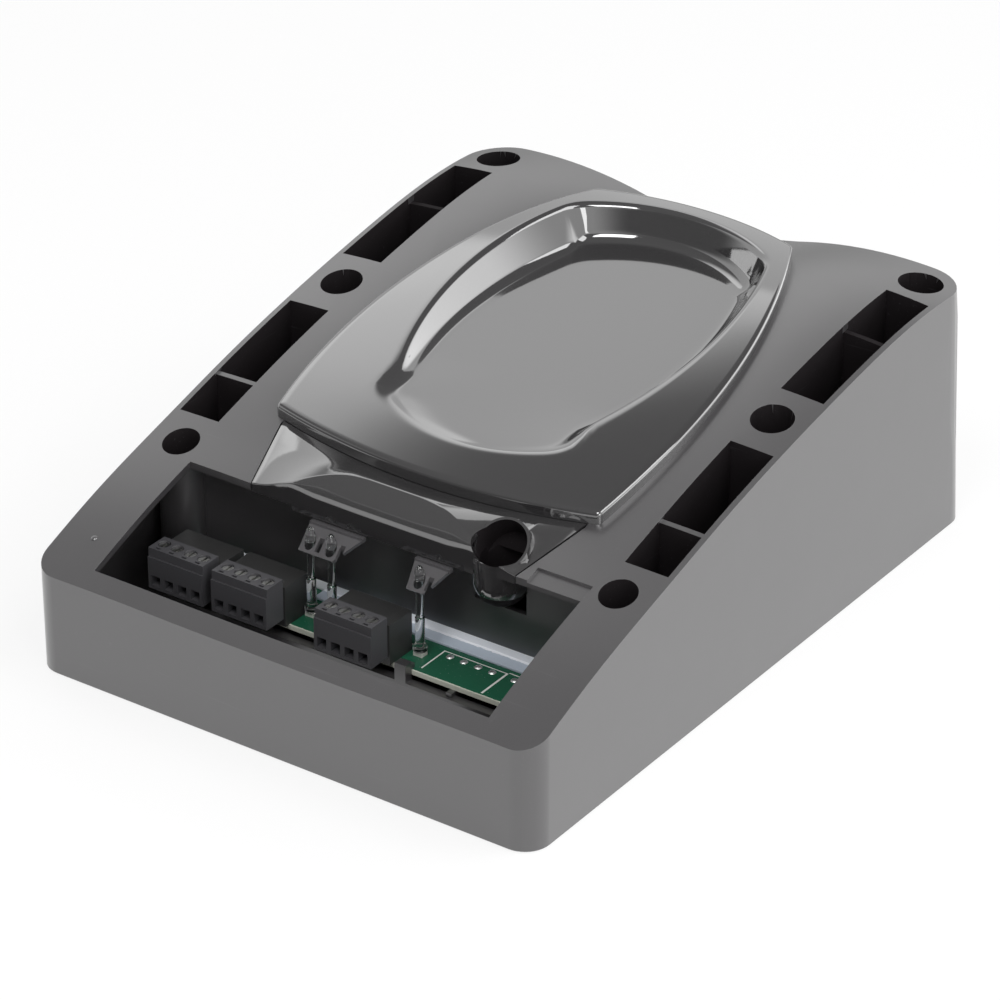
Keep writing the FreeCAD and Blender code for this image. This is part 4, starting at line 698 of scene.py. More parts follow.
# %% Cut the slots, the wells, the place of the reset tab and the window of the pan wheel
TAB_INNER, TAB_DEPTH, TAB_DROP = 53.0, 5.6, 0.9
PAN_WINDOW = ((-76.2, 51, 20), (-72.6, 59, 48))
middle_radius = WELL_FLOOR_RADIUS + WELL_TAPER * (LIFTED_ABOVE - WELL_FLOOR)
for side in (-1, 1):
    for start, end, rib, depth in SLOTS:
        inner, outer = sorted((side * SLOT_INNER, side * SLOT_OUTER))
        cut(chassis, block("rib_notch", (inner, rib - SLOT_WALL, FLAT_TOP - depth),
                           (outer, rib + SLOT_WALL, ABOVE)))
        cut(chassis, block("slot_pocket", (inner, start, SLOT_FLOOR), (outer, rib - SLOT_WALL / 2, ABOVE)))
        cut(chassis, block("slot_pocket", (inner, rib + SLOT_WALL / 2, SLOT_FLOOR), (outer, end, ABOVE)))
    for y in WELL_Y:
        rise = WELL_MOUTH[y] - middle_radius
        cut(chassis, rod("well_mouth", (side * WELL_X, y, FLAT_TOP), middle_radius,
                         2 * (FLAT_TOP - LIFTED_ABOVE), tip_radius=middle_radius + 2 * rise))
        cut(chassis, rod("well_bore", (side * WELL_X, y, (WELL_FLOOR + LIFTED_ABOVE) / 2), WELL_FLOOR_RADIUS,
                         LIFTED_ABOVE - WELL_FLOOR, tip_radius=middle_radius))
        cut(chassis, rod("screw_hole", (side * WELL_X, y, 10), SCREW_HOLE, 20, sides=24))
cut(chassis, block("tab_recess", (TAB_INNER, BAY_BACK - 1, FLAT_TOP - TAB_DROP),
                   (BAY_X, BAY_BACK + TAB_DEPTH, ABOVE)))
cut(chassis, block("pan_wheel_window", *PAN_WINDOW))
print("chassis with its openings:", len(chassis.data.polygons), "faces")

# %% Round the upper edges, divide the top and lift it to the saddle
EDGE_ROUND, FOOT_ROUND, CELL = 0.45, 0.3, 4.0
bevel_edges(chassis, level_at(FLAT_TOP), EDGE_ROUND, 3)
bevel_edges(chassis, level_at(0.0), FOOT_ROUND, 1)
edit(chassis)
for axis, half in ((0, HALF_WIDTH), (1, HALF_LENGTH)):
    for i in range(1, int(2 * half / CELL)):
        place, normal = Vector((0, 0, 0)), Vector((0, 0, 0))
        place[axis], normal[axis] = (-half + i * CELL) * MM, 1
        bpy.ops.mesh.select_all(action="SELECT")
        bpy.ops.mesh.bisect(plane_co=place, plane_no=normal)
done()
for vertex in chassis.data.vertices:
    x, y, z = vertex.co / MM
    if z > LIFTED_ABOVE + NEARLY:
        vertex.co.z = (z + saddle_height(x, y) - FLAT_TOP) * MM
edit(chassis)
bpy.ops.mesh.select_all(action="SELECT")
bpy.ops.mesh.remove_doubles(threshold=SAME_PLACE)
done()
print("chassis lifted to", round(max(vertex.co.z for vertex in chassis.data.vertices) / MM, 1), "mm")

# %% The tall window of the tilt wheel, and the mark where the plastic flowed in
TILT_WINDOW = ((72.6, 50, SLOT_FLOOR), (76.2, 68, 58))
MARK_X, MARK_Y, MARK_RADIUS, MARK_SUNK = -80.5, -106.0, 1.5, 0.75


def ball(name, centre, radius, sides=48):
    deselect()
    bpy.ops.mesh.primitive_uv_sphere_add(segments=sides, ring_count=sides // 2, radius=radius * MM,
                                         location=[c * MM for c in centre])
    return settle(name)


cut(chassis, block("tilt_wheel_window", *TILT_WINDOW))
mark_height = saddle_height(MARK_X, MARK_Y) - MARK_SUNK * MARK_RADIUS
fuse(chassis, ball("gate_mark", (MARK_X, MARK_Y, mark_height), MARK_RADIUS, sides=24))
shade(chassis, 30)
apply_modifier(chassis, "WEIGHTED_NORMAL", keep_sharp=True)
place_piece(chassis, "housing", "chassis_plastic", chassis_black, "chassis")

# %% Painted shade deep in the slots and wells: a darker, rougher black on their inner faces
POCKET_EDGE, REACH, WELL_REACH = 1.2, 0.1, 0.3


def in_slot(x, y):
    across = SLOT_INNER - REACH < abs(x) < SLOT_OUTER + REACH
    return across and any(start - REACH < y < end + REACH for start, end, rib, notch in SLOTS)


def in_well(x, y):
    return any(math.hypot(abs(x) - WELL_X, y - well) < WELL_MOUTH[well] + WELL_REACH for well in WELL_Y)


chassis.data.materials.append(recess_painted_shade)
for face in chassis.data.polygons:
    x, y, z = face.center / MM
    if saddle_height(x, y) - z > POCKET_EDGE and (in_slot(x, y) or in_well(x, y)):
        face.material_index = 1
print("dark faces:", sum(face.material_index for face in chassis.data.polygons))

# %% [markdown]
# ## The lens cover
# The cover is a thin glossy shell on an outline of four arcs. Its dome follows the saddle 4 mm higher,
# and the tray sinks into it with a rounded rim, a steep wall and a flat floor that leans with the sight
# line. At the near end the floor comes out through the dome, so the wall fades away there. All of this
# follows the two outlines, so the cover is drawn as rings from its foot to the middle of the tray.

# %% Outlines with round corners
def round_corner(corner, first, second, radius):
    """The circle inside two arcs that touches both near their corner, and where it touches them."""
    (one, one_radius), (two, two_radius) = first, second
    reach_one, reach_two = one_radius - radius, two_radius - radius
    apart = (two - one).length
    along = (reach_one ** 2 - reach_two ** 2 + apart ** 2) / (2 * apart)
    across = math.sqrt(reach_one ** 2 - along ** 2)
    way = (two - one) / apart
    foot, side = one + way * along, Vector((way.y, -way.x))
    centre = min((foot + side * across, foot - side * across), key=lambda place: (place - corner).length)
    touch_one = one + (centre - one) * one_radius / reach_one
    return centre, touch_one, two + (centre - two) * two_radius / reach_two


def smooth_shield(sizes, near_round, far_round, side_steps=30, corner_steps=8):
    """The outline with round corners."""
    corners, sides = shield_sides(sizes)
    radii = (near_round, near_round, far_round, far_round)
    rounds = [round_corner(corners[i], sides[i - 1], sides[i], radii[i]) for i in range(4)]
    points = []
    for i in range(4):
        centre, start, end = rounds[i]
        points += turn_points(centre, start, end, corner_steps)
        points += turn_points(sides[i][0], end, rounds[(i + 1) % 4][1], side_steps)
    return np.array(points)


def drawn_in(outline, inset):
    """The outline moved inwards by a distance, which may differ from point to point."""
    way = np.roll(outline, -1, axis=0) - np.roll(outline, 1, axis=0)
    way /= np.linalg.norm(way, axis=1)[:, None]
    inward = np.stack([-way[:, 1], way[:, 0]], axis=1)
    return outline + inward * np.reshape(inset, (-1, 1))


# %% The dome of the cover and the depth of its tray
TRAY = dict(near_half=29.5, near=-22.5, near_bulge=11.0, side_bulge=12.5, far_half=37.5, far=86.5,
            far_bulge=13.0)
LIFT, CROWN, CROWN_HALF = 3.95, 0.8, 72.0
TRAY_FLOOR, TRAY_SLOPE, TRAY_START, TRAY_BLEND = 69.0, 0.09, -20.0, 0.8
CORNER_RISE, CORNER_X, CORNER_START, CORNER_OVER = 1.5, 40.0, -25.0, 30.0


def dome_height(x, y):
    return edge_height(y) + LIFT + CROWN * (1 - (x / CROWN_HALF) ** 2)


def tray_depth(x, y):
    """How far the tray lies below the dome; it fades out softly where the floor meets the dome."""
    corner = CORNER_RISE * (x / CORNER_X) ** 2 * (1 - ease((y - CORNER_START) / CORNER_OVER))
    depth = dome_height(x, y) - (TRAY_FLOOR + TRAY_SLOPE * (y - TRAY_START) + corner)
    share = min(max(0.5 + 0.5 * depth / TRAY_BLEND, 0.0), 1.0)
    return depth * share + TRAY_BLEND * share * (1 - share)


# %% The rings of the edge and the dome
EDGE_RADIUS, EDGE_STEPS, FOOT_DROP = 1.2, 4, 0.5
cover_edge = smooth_shield(LENS, near_round=2.0, far_round=3.0)
tray_edge = smooth_shield(TRAY, near_round=18.0, far_round=14.0)


def lifted(outline, height):
    return np.array([(x, y, height(x, y)) for x, y in outline])


rings = [lifted(cover_edge, lambda x, y: edge_height(y) - FOOT_DROP)]
for step in range(EDGE_STEPS + 1):
    angle = math.pi / 2 * step / EDGE_STEPS
    drop = EDGE_RADIUS * (1 - math.sin(angle))
    rings.append(lifted(drawn_in(cover_edge, EDGE_RADIUS * (1 - math.cos(angle))),
                        lambda x, y: dome_height(x, y) - drop))
print("cover edge:", len(rings), "rings of", len(cover_edge), "points")

# %% [markdown]
# The wall of the tray is a rim arc, a straight stretch and a foot arc. Its angle and its two radii change
# on the way round: steep at the far end, leaning at the sides, and a wide soft roll at the near end.

# %% The section of the tray's wall at every point of its outline
RIM_RADIUS, FOOT_RADIUS, SOFT_RADIUS = 2.5, 4.5, 14.0
SOFT_START, SOFT_OVER, SOFT_INSET, RIM_OUTSIDE = -24.0, 16.0, 1.0, 0.4
END_ANGLE, SIDE_ANGLE = math.radians(76), math.radians(56)
LEAST_WALL, ARC_STEPS = 0.2, 5
depths = np.array([tray_depth(x, y) for x, y in tray_edge])
softness = np.array([1 - ease((y - SOFT_START) / SOFT_OVER) for x, y in tray_edge])
rim = RIM_RADIUS * (1 - softness) + SOFT_RADIUS * softness
foot = FOOT_RADIUS * (1 - softness) + SOFT_RADIUS * softness
around_way = np.roll(tray_edge, -1, axis=0) - np.roll(tray_edge, 1, axis=0)
sideways = np.abs(around_way[:, 1]) / np.linalg.norm(around_way, axis=1)
wall_angle = END_ANGLE + (SIDE_ANGLE - END_ANGLE) * sideways ** 2
wall_depth = np.maximum(depths, LEAST_WALL)
angle = np.minimum(wall_angle, np.arccos(np.clip(1 - wall_depth / (rim + foot), -1, 1)))
straight = np.maximum(wall_depth - (rim + foot) * (1 - np.cos(angle)), 0) / np.tan(angle)
run = (rim + foot) * np.sin(angle) + straight
rim_start = -RIM_OUTSIDE * rim * np.sin(angle) * (1 - softness) + (SOFT_INSET - run) * softness
turns = [angle * k / ARC_STEPS for k in range(ARC_STEPS + 1)]
wall_sections = [(rim_start + rim * np.sin(turn), rim * (1 - np.cos(turn))) for turn in turns[1:]]
wall_sections += [(rim_start + run - foot * np.sin(turn), wall_depth - foot * (1 - np.cos(turn)))
                  for turn in reversed(turns)]
print("tray depth at the far wall", round(float(depths.max()), 1), "mm")

# %% The rings of the dome, the wall and the floor of the tray
DOME_SHARES, FLOOR_SHARES, SPINE_Y = np.linspace(0.08, 1.0, 11), (0.06, 0.15, 0.3, 0.5, 0.7, 0.85), (15, 60)
inner_edge, outer_edge = drawn_in(cover_edge, EDGE_RADIUS), drawn_in(tray_edge, rim_start)
for share in DOME_SHARES:
    rings.append(lifted(inner_edge * (1 - share) + outer_edge * share, dome_height))
for inset, drop in wall_sections:
    floor_edge = drawn_in(tray_edge, inset)
    rings.append(np.array([(x, y, dome_height(x, y) - share * tray_depth(x, y))
                           for (x, y), share in zip(floor_edge, drop / wall_depth)]))
spine = np.stack([np.zeros(len(tray_edge)), np.clip(tray_edge[:, 1], *SPINE_Y)], axis=1)
for share in FLOOR_SHARES:
    rings.append(lifted(floor_edge * (1 - share) + spine * share,
                        lambda x, y: dome_height(x, y) - tray_depth(x, y)))
print("cover:", len(rings), "rings")


# %% Draw a shell ring by ring
def draw_rings(name, rings, both_ends=False):
    """A circle primitive on the first ring, extruded from ring to ring and filled at one or both ends."""
    count = len(rings[0])
    deselect()
    bpy.ops.mesh.primitive_circle_add(vertices=count, fill_type="NOTHING", radius=0.01)
    piece = settle(name)
    for vertex, place in zip(piece.data.vertices, rings[0]):
        vertex.co = Vector(place) * MM
    edit(piece)
    bpy.ops.mesh.select_all(action="SELECT")
    done()
    order = list(range(count))
    for ring in rings[1:]:
        start = {tuple(round(c, 9) for c in piece.data.vertices[i].co): k for k, i in enumerate(order)}
        edit(piece)
        bpy.ops.mesh.extrude_region_move(TRANSFORM_OT_translate={"value": (0, 0, 0)})
        done()
        order = [0] * count
        for i in range(len(piece.data.vertices) - count, len(piece.data.vertices)):
            order[start[tuple(round(c, 9) for c in piece.data.vertices[i].co)]] = i
        for k, i in enumerate(order):
            piece.data.vertices[i].co = Vector(ring[k]) * MM
    edit(piece)
    bpy.ops.mesh.edge_face_add()
    if both_ends:
        bpy.ops.mesh.select_all(action="DESELECT")
        bpy.ops.mesh.select_non_manifold(extend=False, use_wire=False, use_multi_face=False,
                                         use_non_contiguous=False, use_verts=False)
        bpy.ops.mesh.edge_face_add()
    bpy.ops.mesh.select_all(action="SELECT")
    bpy.ops.mesh.normals_make_consistent(inside=False)
    done()
    return piece


# %% The cover itself, thickened downwards
COVER_WALL, MERGE = 1.1, 0.02
cover = draw_rings("cover_shell", rings)
edit(cover)
bpy.ops.mesh.select_all(action="SELECT")
bpy.ops.mesh.remove_doubles(threshold=MERGE * MM)
done()
apply_modifier(cover, "SOLIDIFY", thickness=COVER_WALL * MM, offset=-1)
shade(cover, 50)
place_piece(cover, "housing", "gloss_cover", cover_gloss, "lens_cover")

# %% [markdown]
# ## The visor
# The visor bridges the gap between the cover and the wiring bay. Its roof rises to a crest that arches
# over the middle, and its front drops from the crest to a straight lip, steeply in the lower part. It is
# drawn from one side to the other as closed cross sections. The sight ring is a leaning tube that is
# fused on and then bored, and the inside of the bore gets painted shade, a darker and duller black, so
# that the eye finds the mirror below.

# %% One cross section of the visor
VISOR_FRONT, VISOR_REAR, VISOR_WALL = 48.7, 56.2, 1.8
LIP_HEIGHT, FOLD, LEAST_STEP = 50.3, (-68.9, 57.9), (0.2, 0.3)
CREST_Y, CREST_Z, CREST_BACK, CREST_DOWN = -61.0, 62.8, 8.2, 9.8
BACK_START, DOWN_START, CREST_OVER = 8, 16, 36
REAR_OVERLAP, REAR_ABOVE = 0.3, 0.5


def visor_section(share):
    """Rear, crest, fold and lip of the cross section at a share of the half width."""
    front_x, rear_x = VISOR_FRONT * share, VISOR_REAR * share
    bulge = LENS["near_bulge"] * (1 - (rear_x / LENS["near_half"]) ** 2)
    rear_y = LENS["near"] - bulge - REAR_OVERLAP
    rear = Vector((rear_x, rear_y, edge_height(rear_y) + REAR_ABOVE))
    crest_y = CREST_Y - CREST_BACK * ease((abs(front_x) - BACK_START) / CREST_OVER)
    crest_z = CREST_Z - CREST_DOWN * ease((abs(front_x) - DOWN_START) / CREST_OVER)
    crest = Vector((front_x, crest_y, crest_z))
    fold = Vector((front_x, min(FOLD[0], crest.y - LEAST_STEP[0]), min(FOLD[1], crest.z - LEAST_STEP[1])))
    return [rear, crest, fold, Vector((front_x, BAY_BACK, LIP_HEIGHT))]


def rounded_way(points, radii, straight=3, curve=4):
    """A way through some points with its inner corners rounded off."""
    way = []
    start = points[0]
    for i in range(1, len(points) - 1):
        before, after = points[i - 1] - points[i], points[i + 1] - points[i]
        reach = min(radii[i - 1], before.length * 0.45, after.length * 0.45)
        one, two = points[i] + before.normalized() * reach, points[i] + after.normalized() * reach
        way += [start.lerp(one, step / straight) for step in range(straight)]
        for step in range(curve):
            t = step / curve
            way.append(one.lerp(points[i], t).lerp(points[i].lerp(two, t), t))
        start = two
    way += [start.lerp(points[-1], step / straight) for step in range(straight + 1)]
    return way


# %% The whole visor, section by section
COLUMNS, LIP_WALL, FOLD_WALL, CREST_WALL = 61, 1.3, (1.4, 0.4), (1.2, 0.6)
WAY_ROUNDS = (0.5, 2.4)


def closed_section(share):
    """The whole cross section: along the roof and the front, then back below them."""
    rear, crest, fold, lip = visor_section(share)
    inner_fold = Vector((fold.x, fold.y + FOLD_WALL[0], min(fold.z, crest.z - CREST_WALL[0]) - FOLD_WALL[1]))
    crest_y = max(crest.y, fold.y + CREST_WALL[1]) + CREST_WALL[0]
    inner_crest = Vector((crest.x, crest_y, crest.z - VISOR_WALL))
    under = [lip + Vector((0, LIP_WALL, 0)), inner_fold, inner_crest, rear - Vector((0, 0, VISOR_WALL))]
    return rounded_way([rear, crest, fold, lip], WAY_ROUNDS) + under


columns = [closed_section(2 * i / (COLUMNS - 1) - 1) for i in range(COLUMNS)]
visor = draw_rings("visor_moulding", columns, both_ends=True)
print("visor:", COLUMNS, "sections of", len(columns[0]), "points,", len(visor.data.polygons), "faces")

# %% The tab below the lip, and the sight ring with its tube
RING, RING_LEAN, BORE, RING_WALL = Vector((39.1, -62.6, 57.3)), math.radians(39.5), 8.1, 0.85
RING_AXIS = Vector((0, -math.sin(RING_LEAN), math.cos(RING_LEAN)))
RING_SPAN, BORE_SPAN = (-9.0, 0.0), (-8.5, 30.0)
TUBE_X, TUBE_Y, TUBE_END, TUBE_TOP = 38.2, -61.4, 45.5, 54.0
WELL_RADIUS, WELL_TOP = BORE - 0.3, 52.0
LIP_TAB = ((-33.5, BAY_BACK + 0.25, 48.5), (33.5, BAY_BACK + 1.6, LIP_HEIGHT + 0.6))


def leaning_rod(name, radius, low, high, sides=72):
    """A rod on the ring's axis, between two distances along it from the ring's face."""
    deselect()
    bpy.ops.mesh.primitive_cylinder_add(vertices=sides, radius=radius * MM, depth=(high - low) * MM,
                                        location=(RING + RING_AXIS * (low + high) / 2) * MM,
                                        rotation=(RING_LEAN, 0, 0))
    return settle(name)


def tube_part(name, radius, top):
    """An upright rod down to the tube's end, and the ball that closes it there."""
    part = rod(name, (TUBE_X, TUBE_Y, (TUBE_END + top) / 2), radius, top - TUBE_END, sides=72)
    return part, ball(name + "_end", (TUBE_X, TUBE_Y, TUBE_END), radius)


fuse(visor, block("lip_tab", *LIP_TAB))
tube, tube_end = tube_part("tube", BORE + RING_WALL, TUBE_TOP)
fuse(tube, tube_end, leaning_rod("ring", BORE + RING_WALL, *RING_SPAN))
fuse(visor, tube)
cut(visor, leaning_rod("bore", BORE, *BORE_SPAN), *tube_part("well", WELL_RADIUS, WELL_TOP))
soften(visor, 0.25, 2, 55)
shade(visor, 40)
place_piece(visor, "housing", "gloss_cover", cover_gloss, "apron")

# %% Painted shade inside the bore: a darker, duller black on its inner faces
BELOW_FACE, IN_BORE, IN_TUBE = -0.3, BORE + 0.2, BORE - 0.1
visor.data.materials.append(recess_painted_shade)
for face in visor.data.polygons:
    offset = face.center / MM - RING
    along = offset.dot(RING_AXIS)
    in_bore = (offset - RING_AXIS * along).length < IN_BORE
    in_tube = math.hypot(face.center.x / MM - TUBE_X, face.center.y / MM - TUBE_Y) < IN_TUBE
    if along < BELOW_FACE and (in_bore or in_tube):
        face.material_index = 1
print("dull faces:", sum(face.material_index for face in visor.data.polygons))

# %% [markdown]
# ## The board and its gasket
# At the right of the bay the bare board shows: a row of unused pads inside printed lines, a pale sawn
# edge and a strip of foam along the divider. The board and the foam are blocks and each pad is a low
# dome of solder. The print is only paint and the sawn edge only a colour, so both are masks in the
# material, drawn with the same millimetres as the model.

# %% Masks in millimetres, and a paint that goes over a finish where a mask is 1
PRINTED = (((22.3, 22.8), (-80.4, -68.4)), ((22.3, 45.6), (-68.7, -68.3)), ((45.0, 45.7), (-81.8, -68.3)),
           ((45.7, 70.0), (-68.1, -67.7)), ((10.8, 13.6), (-71.0, -70.6)))
PRINT_WHITE = (0.72, 0.74, 0.70)
BOARD_EDGE, SAWN_RAGGED, SAWN_PALE = -82.55, 0.5, (0.62, 0.64, 0.55)
FOAM_FRINGE, FOAM_RAGGED, FOAM_PALE = -62.1, 1.2, (0.80, 0.82, 0.86)


def in_millimetres(tree):
    """Object coordinates, and the same in millimetres as three separate values."""
    where = add_node(tree, "ShaderNodeTexCoord", (-1300, 700)).outputs["Object"]
    larger = add_node(tree, "ShaderNodeVectorMath", (-1100, 700), operation="SCALE")
    larger.inputs["Scale"].default_value = 1 / MM
    tree.links.new(where, larger.inputs[0])
    parts = add_node(tree, "ShaderNodeSeparateXYZ", (-900, 700))
    tree.links.new(larger.outputs[0], parts.inputs[0])
    return where, parts.outputs


def box_mask(tree, parts, ranges, place):
    """1 inside a range of x and a range of y."""
    masks = [math_node(tree, "COMPARE", part, (low + high) / 2, (high - low) / 2, place=place)
             for part, (low, high) in zip(parts, ranges)]
    return math_node(tree, "MULTIPLY", *masks, place=(place[0] + 200, place[1]))


def ragged_past(tree, where, part, edge, amount, place):
    """A mask for everything beyond an edge that a noise makes ragged."""
    noise = noise_node(tree, where, 700.0, 3.0, 0.6, place)
    ragged = math_node(tree, "MULTIPLY_ADD", noise, amount, -amount / 2)
    return math_node(tree, "GREATER_THAN", math_node(tree, "ADD", part, ragged), edge, place=place)


def paint_over(finish, mask, colour):
    tree = finish.node_tree
    base = tree.nodes["Principled BSDF"].inputs["Base Color"]
    tree.links.new(colour_mix(tree, mask, base.links[0].from_socket, colour, (400, 400)), base)


tree = board_green.node_tree
where, parts = in_millimetres(tree)
print_mask = 0.0
for i, ranges in enumerate(PRINTED):
    print_mask = math_node(tree, "MAXIMUM", print_mask, box_mask(tree, parts, ranges, (-700, 700 + 200 * i)))
paint_over(board_green, print_mask, PRINT_WHITE)
minus_y = math_node(tree, "MULTIPLY", parts["Y"], -1.0, place=(-700, 500))
sawn = ragged_past(tree, where, minus_y, -BOARD_EDGE, SAWN_RAGGED, (-500, 500))
paint_over(board_green, sawn, SAWN_PALE)
tree = foam_blue.node_tree
where, parts = in_millimetres(tree)
torn = ragged_past(tree, where, parts["Y"], FOAM_FRINGE, FOAM_RAGGED, (-500, 500))
paint_over(foam_blue, torn, FOAM_PALE)
print("printed lines:", len(PRINTED))

# %% The board and its solder pads
BOARD_LOW, BOARD_HIGH = (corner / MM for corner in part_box("main_board"))
POST_X, POST_Y, POST_RADIUS = 62.0, -52.0, 1.4
PAD_X, PAD_Y = (25.8, 30.9, 36.1, 41.2, 49.3), -70.4
PAD_RADIUS, PAD_TOP_RADIUS, PAD_HEIGHT = 1.25, 0.8, 0.4
board = block("board_laminate_sheet", BOARD_LOW, BOARD_HIGH)
bevel_edges(board, upright, 1.0, 3)
for x in (-POST_X, 0.0, POST_X):
    cut(board, rod("post_hole", (x, POST_Y, BOARD_HIGH.z), POST_RADIUS, 8, sides=24))
shade(board, 30)
place_piece(board, "housing", "board_laminate", board_green, "main_board")
for i, x in enumerate(PAD_X):
    dome = rod(f"solder_pad_{i + 1}", (x, PAD_Y, BOARD_HIGH.z + PAD_HEIGHT / 2), PAD_RADIUS, PAD_HEIGHT,
               sides=24, tip_radius=PAD_TOP_RADIUS)
    bevel_edges(dome, level_at(BOARD_HIGH.z + PAD_HEIGHT), 0.2, 2)
    shade(dome, 60)
    place_piece(dome, "housing", "contact_metal", solder_metal)
print("solder pads:", len(PAD_X))

# %% The strip of foam, with a thin lip that lies on the board
FOAM_LOW, FOAM_HIGH = (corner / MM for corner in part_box("board_gasket"))
FOAM_LIP_X, FOAM_LIP_Y, FOAM_LIP_HEIGHT = -28.0, -66.4, 0.9
gasket = block("foam_strip", FOAM_LOW, FOAM_HIGH)
fuse(gasket, block("foam_lip", (FOAM_LIP_X, FOAM_LIP_Y, FOAM_LOW.z),
                   (FOAM_HIGH.x, FOAM_LOW.y + 0.5, FOAM_LOW.z + FOAM_LIP_HEIGHT)))
soften(gasket, 0.25, 2)
shade(gasket, 40)
place_piece(gasket, "housing", "foam", foam_blue, "board_gasket")

# %% [markdown]
# ## The pieces that stay as they are
# Terminals, screws, light pipes and everything inside are plain machined or moulded forms, which the
# solids already show in full. They keep their mesh and only get a finish: the one that their material
# slot names, and a deeper black for the terminal headers.

# %% Dress the pieces that keep their solid shape
MODELLED = ("chassis", "lens_cover", "apron", "main_board", "board_gasket")
KEPT = {name: node for name, node in nodes.items() if name not in MODELLED}
for name, node in KEPT.items():
    slot = node.data.materials[0].name
    node.material_slots[0].link = "OBJECT"
    header = name.startswith("terminal_header")
    node.material_slots[0].material = switch_black if header else FINISHES[slot.split(".")[0]]
print("kept solids:", len(KEPT))

# %% [markdown]
# ## The floor
# The detector lies on plain white paper without a visible edge. The floor is a wide plane that takes the
# soft shadow; it also glows wherever the eye or a reflection meets it, so that it fades into white.

# %% A white floor that nearly glows
FLOOR_SIZE, FLOOR_HEIGHT, FLOOR_WHITE, FLOOR_GLOW = 12.0, -0.0002, 0.9, 0.8
deselect()
bpy.ops.mesh.primitive_plane_add(size=FLOOR_SIZE, location=(0, 0, FLOOR_HEIGHT))
floor = settle("floor")
floor_finish, tree, shader = base_material("floor_white")
shader.inputs["Base Color"].default_value = (FLOOR_WHITE, FLOOR_WHITE, FLOOR_WHITE, 1.0)
shader.inputs["Roughness"].default_value = 0.6
shader.inputs["Specular IOR Level"].default_value = 0.2
glow = add_node(tree, "ShaderNodeEmission", (300, 300))
glow.inputs["Strength"].default_value = 1.0
rays = add_node(tree, "ShaderNodeLightPath", (-200, 500)).outputs
seen = math_node(tree, "MAXIMUM", rays["Is Camera Ray"], rays["Is Glossy Ray"], place=(0, 500))
seen = math_node(tree, "MAXIMUM", seen, rays["Is Transmission Ray"], place=(150, 500))
share = math_node(tree, "MULTIPLY", seen, FLOOR_GLOW, place=(300, 500))
blend = add_node(tree, "ShaderNodeMixShader", (800, 300))
tree.links.new(share, blend.inputs[0])
tree.links.new(shader.outputs[0], blend.inputs[1])
tree.links.new(glow.outputs[0], blend.inputs[2])
tree.links.new(blend.outputs[0], tree.nodes["Material Output"].inputs["Surface"])
floor.data.materials.append(floor_finish)
print("floor:", FLOOR_SIZE, "m wide")

# %% [markdown]
# ## The light
# Black gloss shows what stands around it and hardly anything of its own. So the surroundings are the
# real drawing here: a bright window behind that fades towards the upper right, a band of light low down
# and a dark room in front. Brightness follows from direction alone, and one curve draws the window's edge.

# %% An empty world, and how far a direction leans towards a normal
world = bpy.data.worlds.new("studio")
bpy.context.scene.world = world
world.use_nodes = True
studio = world.node_tree
backdrop = studio.nodes["Background"]
backdrop.inputs["Color"].default_value = (1, 1, 1, 1)
way = add_node(studio, "ShaderNodeTexCoord", (-1100, 0)).outputs["Generated"]


def facing(normal, place):
    """How far a direction leans towards a normal."""
    dot = add_node(studio, "ShaderNodeVectorMath", place, operation="DOT_PRODUCT")
    dot.inputs[1].default_value = normal
    studio.links.new(way, dot.inputs[0])
    return dot.outputs["Value"]


def zone(normal, low, high, place):
    """Rise softly from 0 to 1 while a direction turns towards a normal."""
    return ramp_node(studio, facing(normal, (-900, place[1])), low, high, place, smooth=True)


print("world:", world.name)

# %% The window behind, with its soft edge
EDGE_LEAN, EDGE_OFFSET, EDGE_SPAN = (-0.617, 0.0, -0.787), 0.2737, 4.0
EDGE_LIGHT = ((0.0, 0.20), (0.36, 0.22), (0.43, 0.25), (0.466, 0.42), (0.50, 0.80), (0.522, 1.20),
              (0.54, 1.50), (0.584, 1.75), (0.672, 1.98), (0.726, 2.20), (0.80, 2.20), (1.0, 2.2))
BEHIND, FRONT_LIGHT = (0.10, 0.42), 0.28
across = math_node(studio, "ADD", facing(EDGE_LEAN, (-900, 200)), EDGE_OFFSET, place=(-700, 200))
on_curve = math_node(studio, "MULTIPLY_ADD", across, 0.5 * EDGE_SPAN, 0.5, place=(-600, 200), clamp=True)
curve = add_node(studio, "ShaderNodeFloatCurve", (-400, 200))
points = curve.mapping.curves[0].points
curve.mapping.use_clip = False
for at, value in EDGE_LIGHT[1:-1]:
    points.new(at, value)
points[0].location, points[-1].location = EDGE_LIGHT[0], EDGE_LIGHT[-1]
for point in points:
    point.handle_type = "AUTO_CLAMPED"
curve.mapping.update()
studio.links.new(on_curve, curve.inputs["Value"])
behind = zone((0, 1, 0), *BEHIND, (-400, 500))
window_light = math_node(studio, "SUBTRACT", curve.outputs[0], FRONT_LIGHT, place=(-200, 400))
window_light = math_node(studio, "MULTIPLY_ADD", window_light, behind, FRONT_LIGHT, place=(-100, 400))
print("window curve:", len(points), "points")

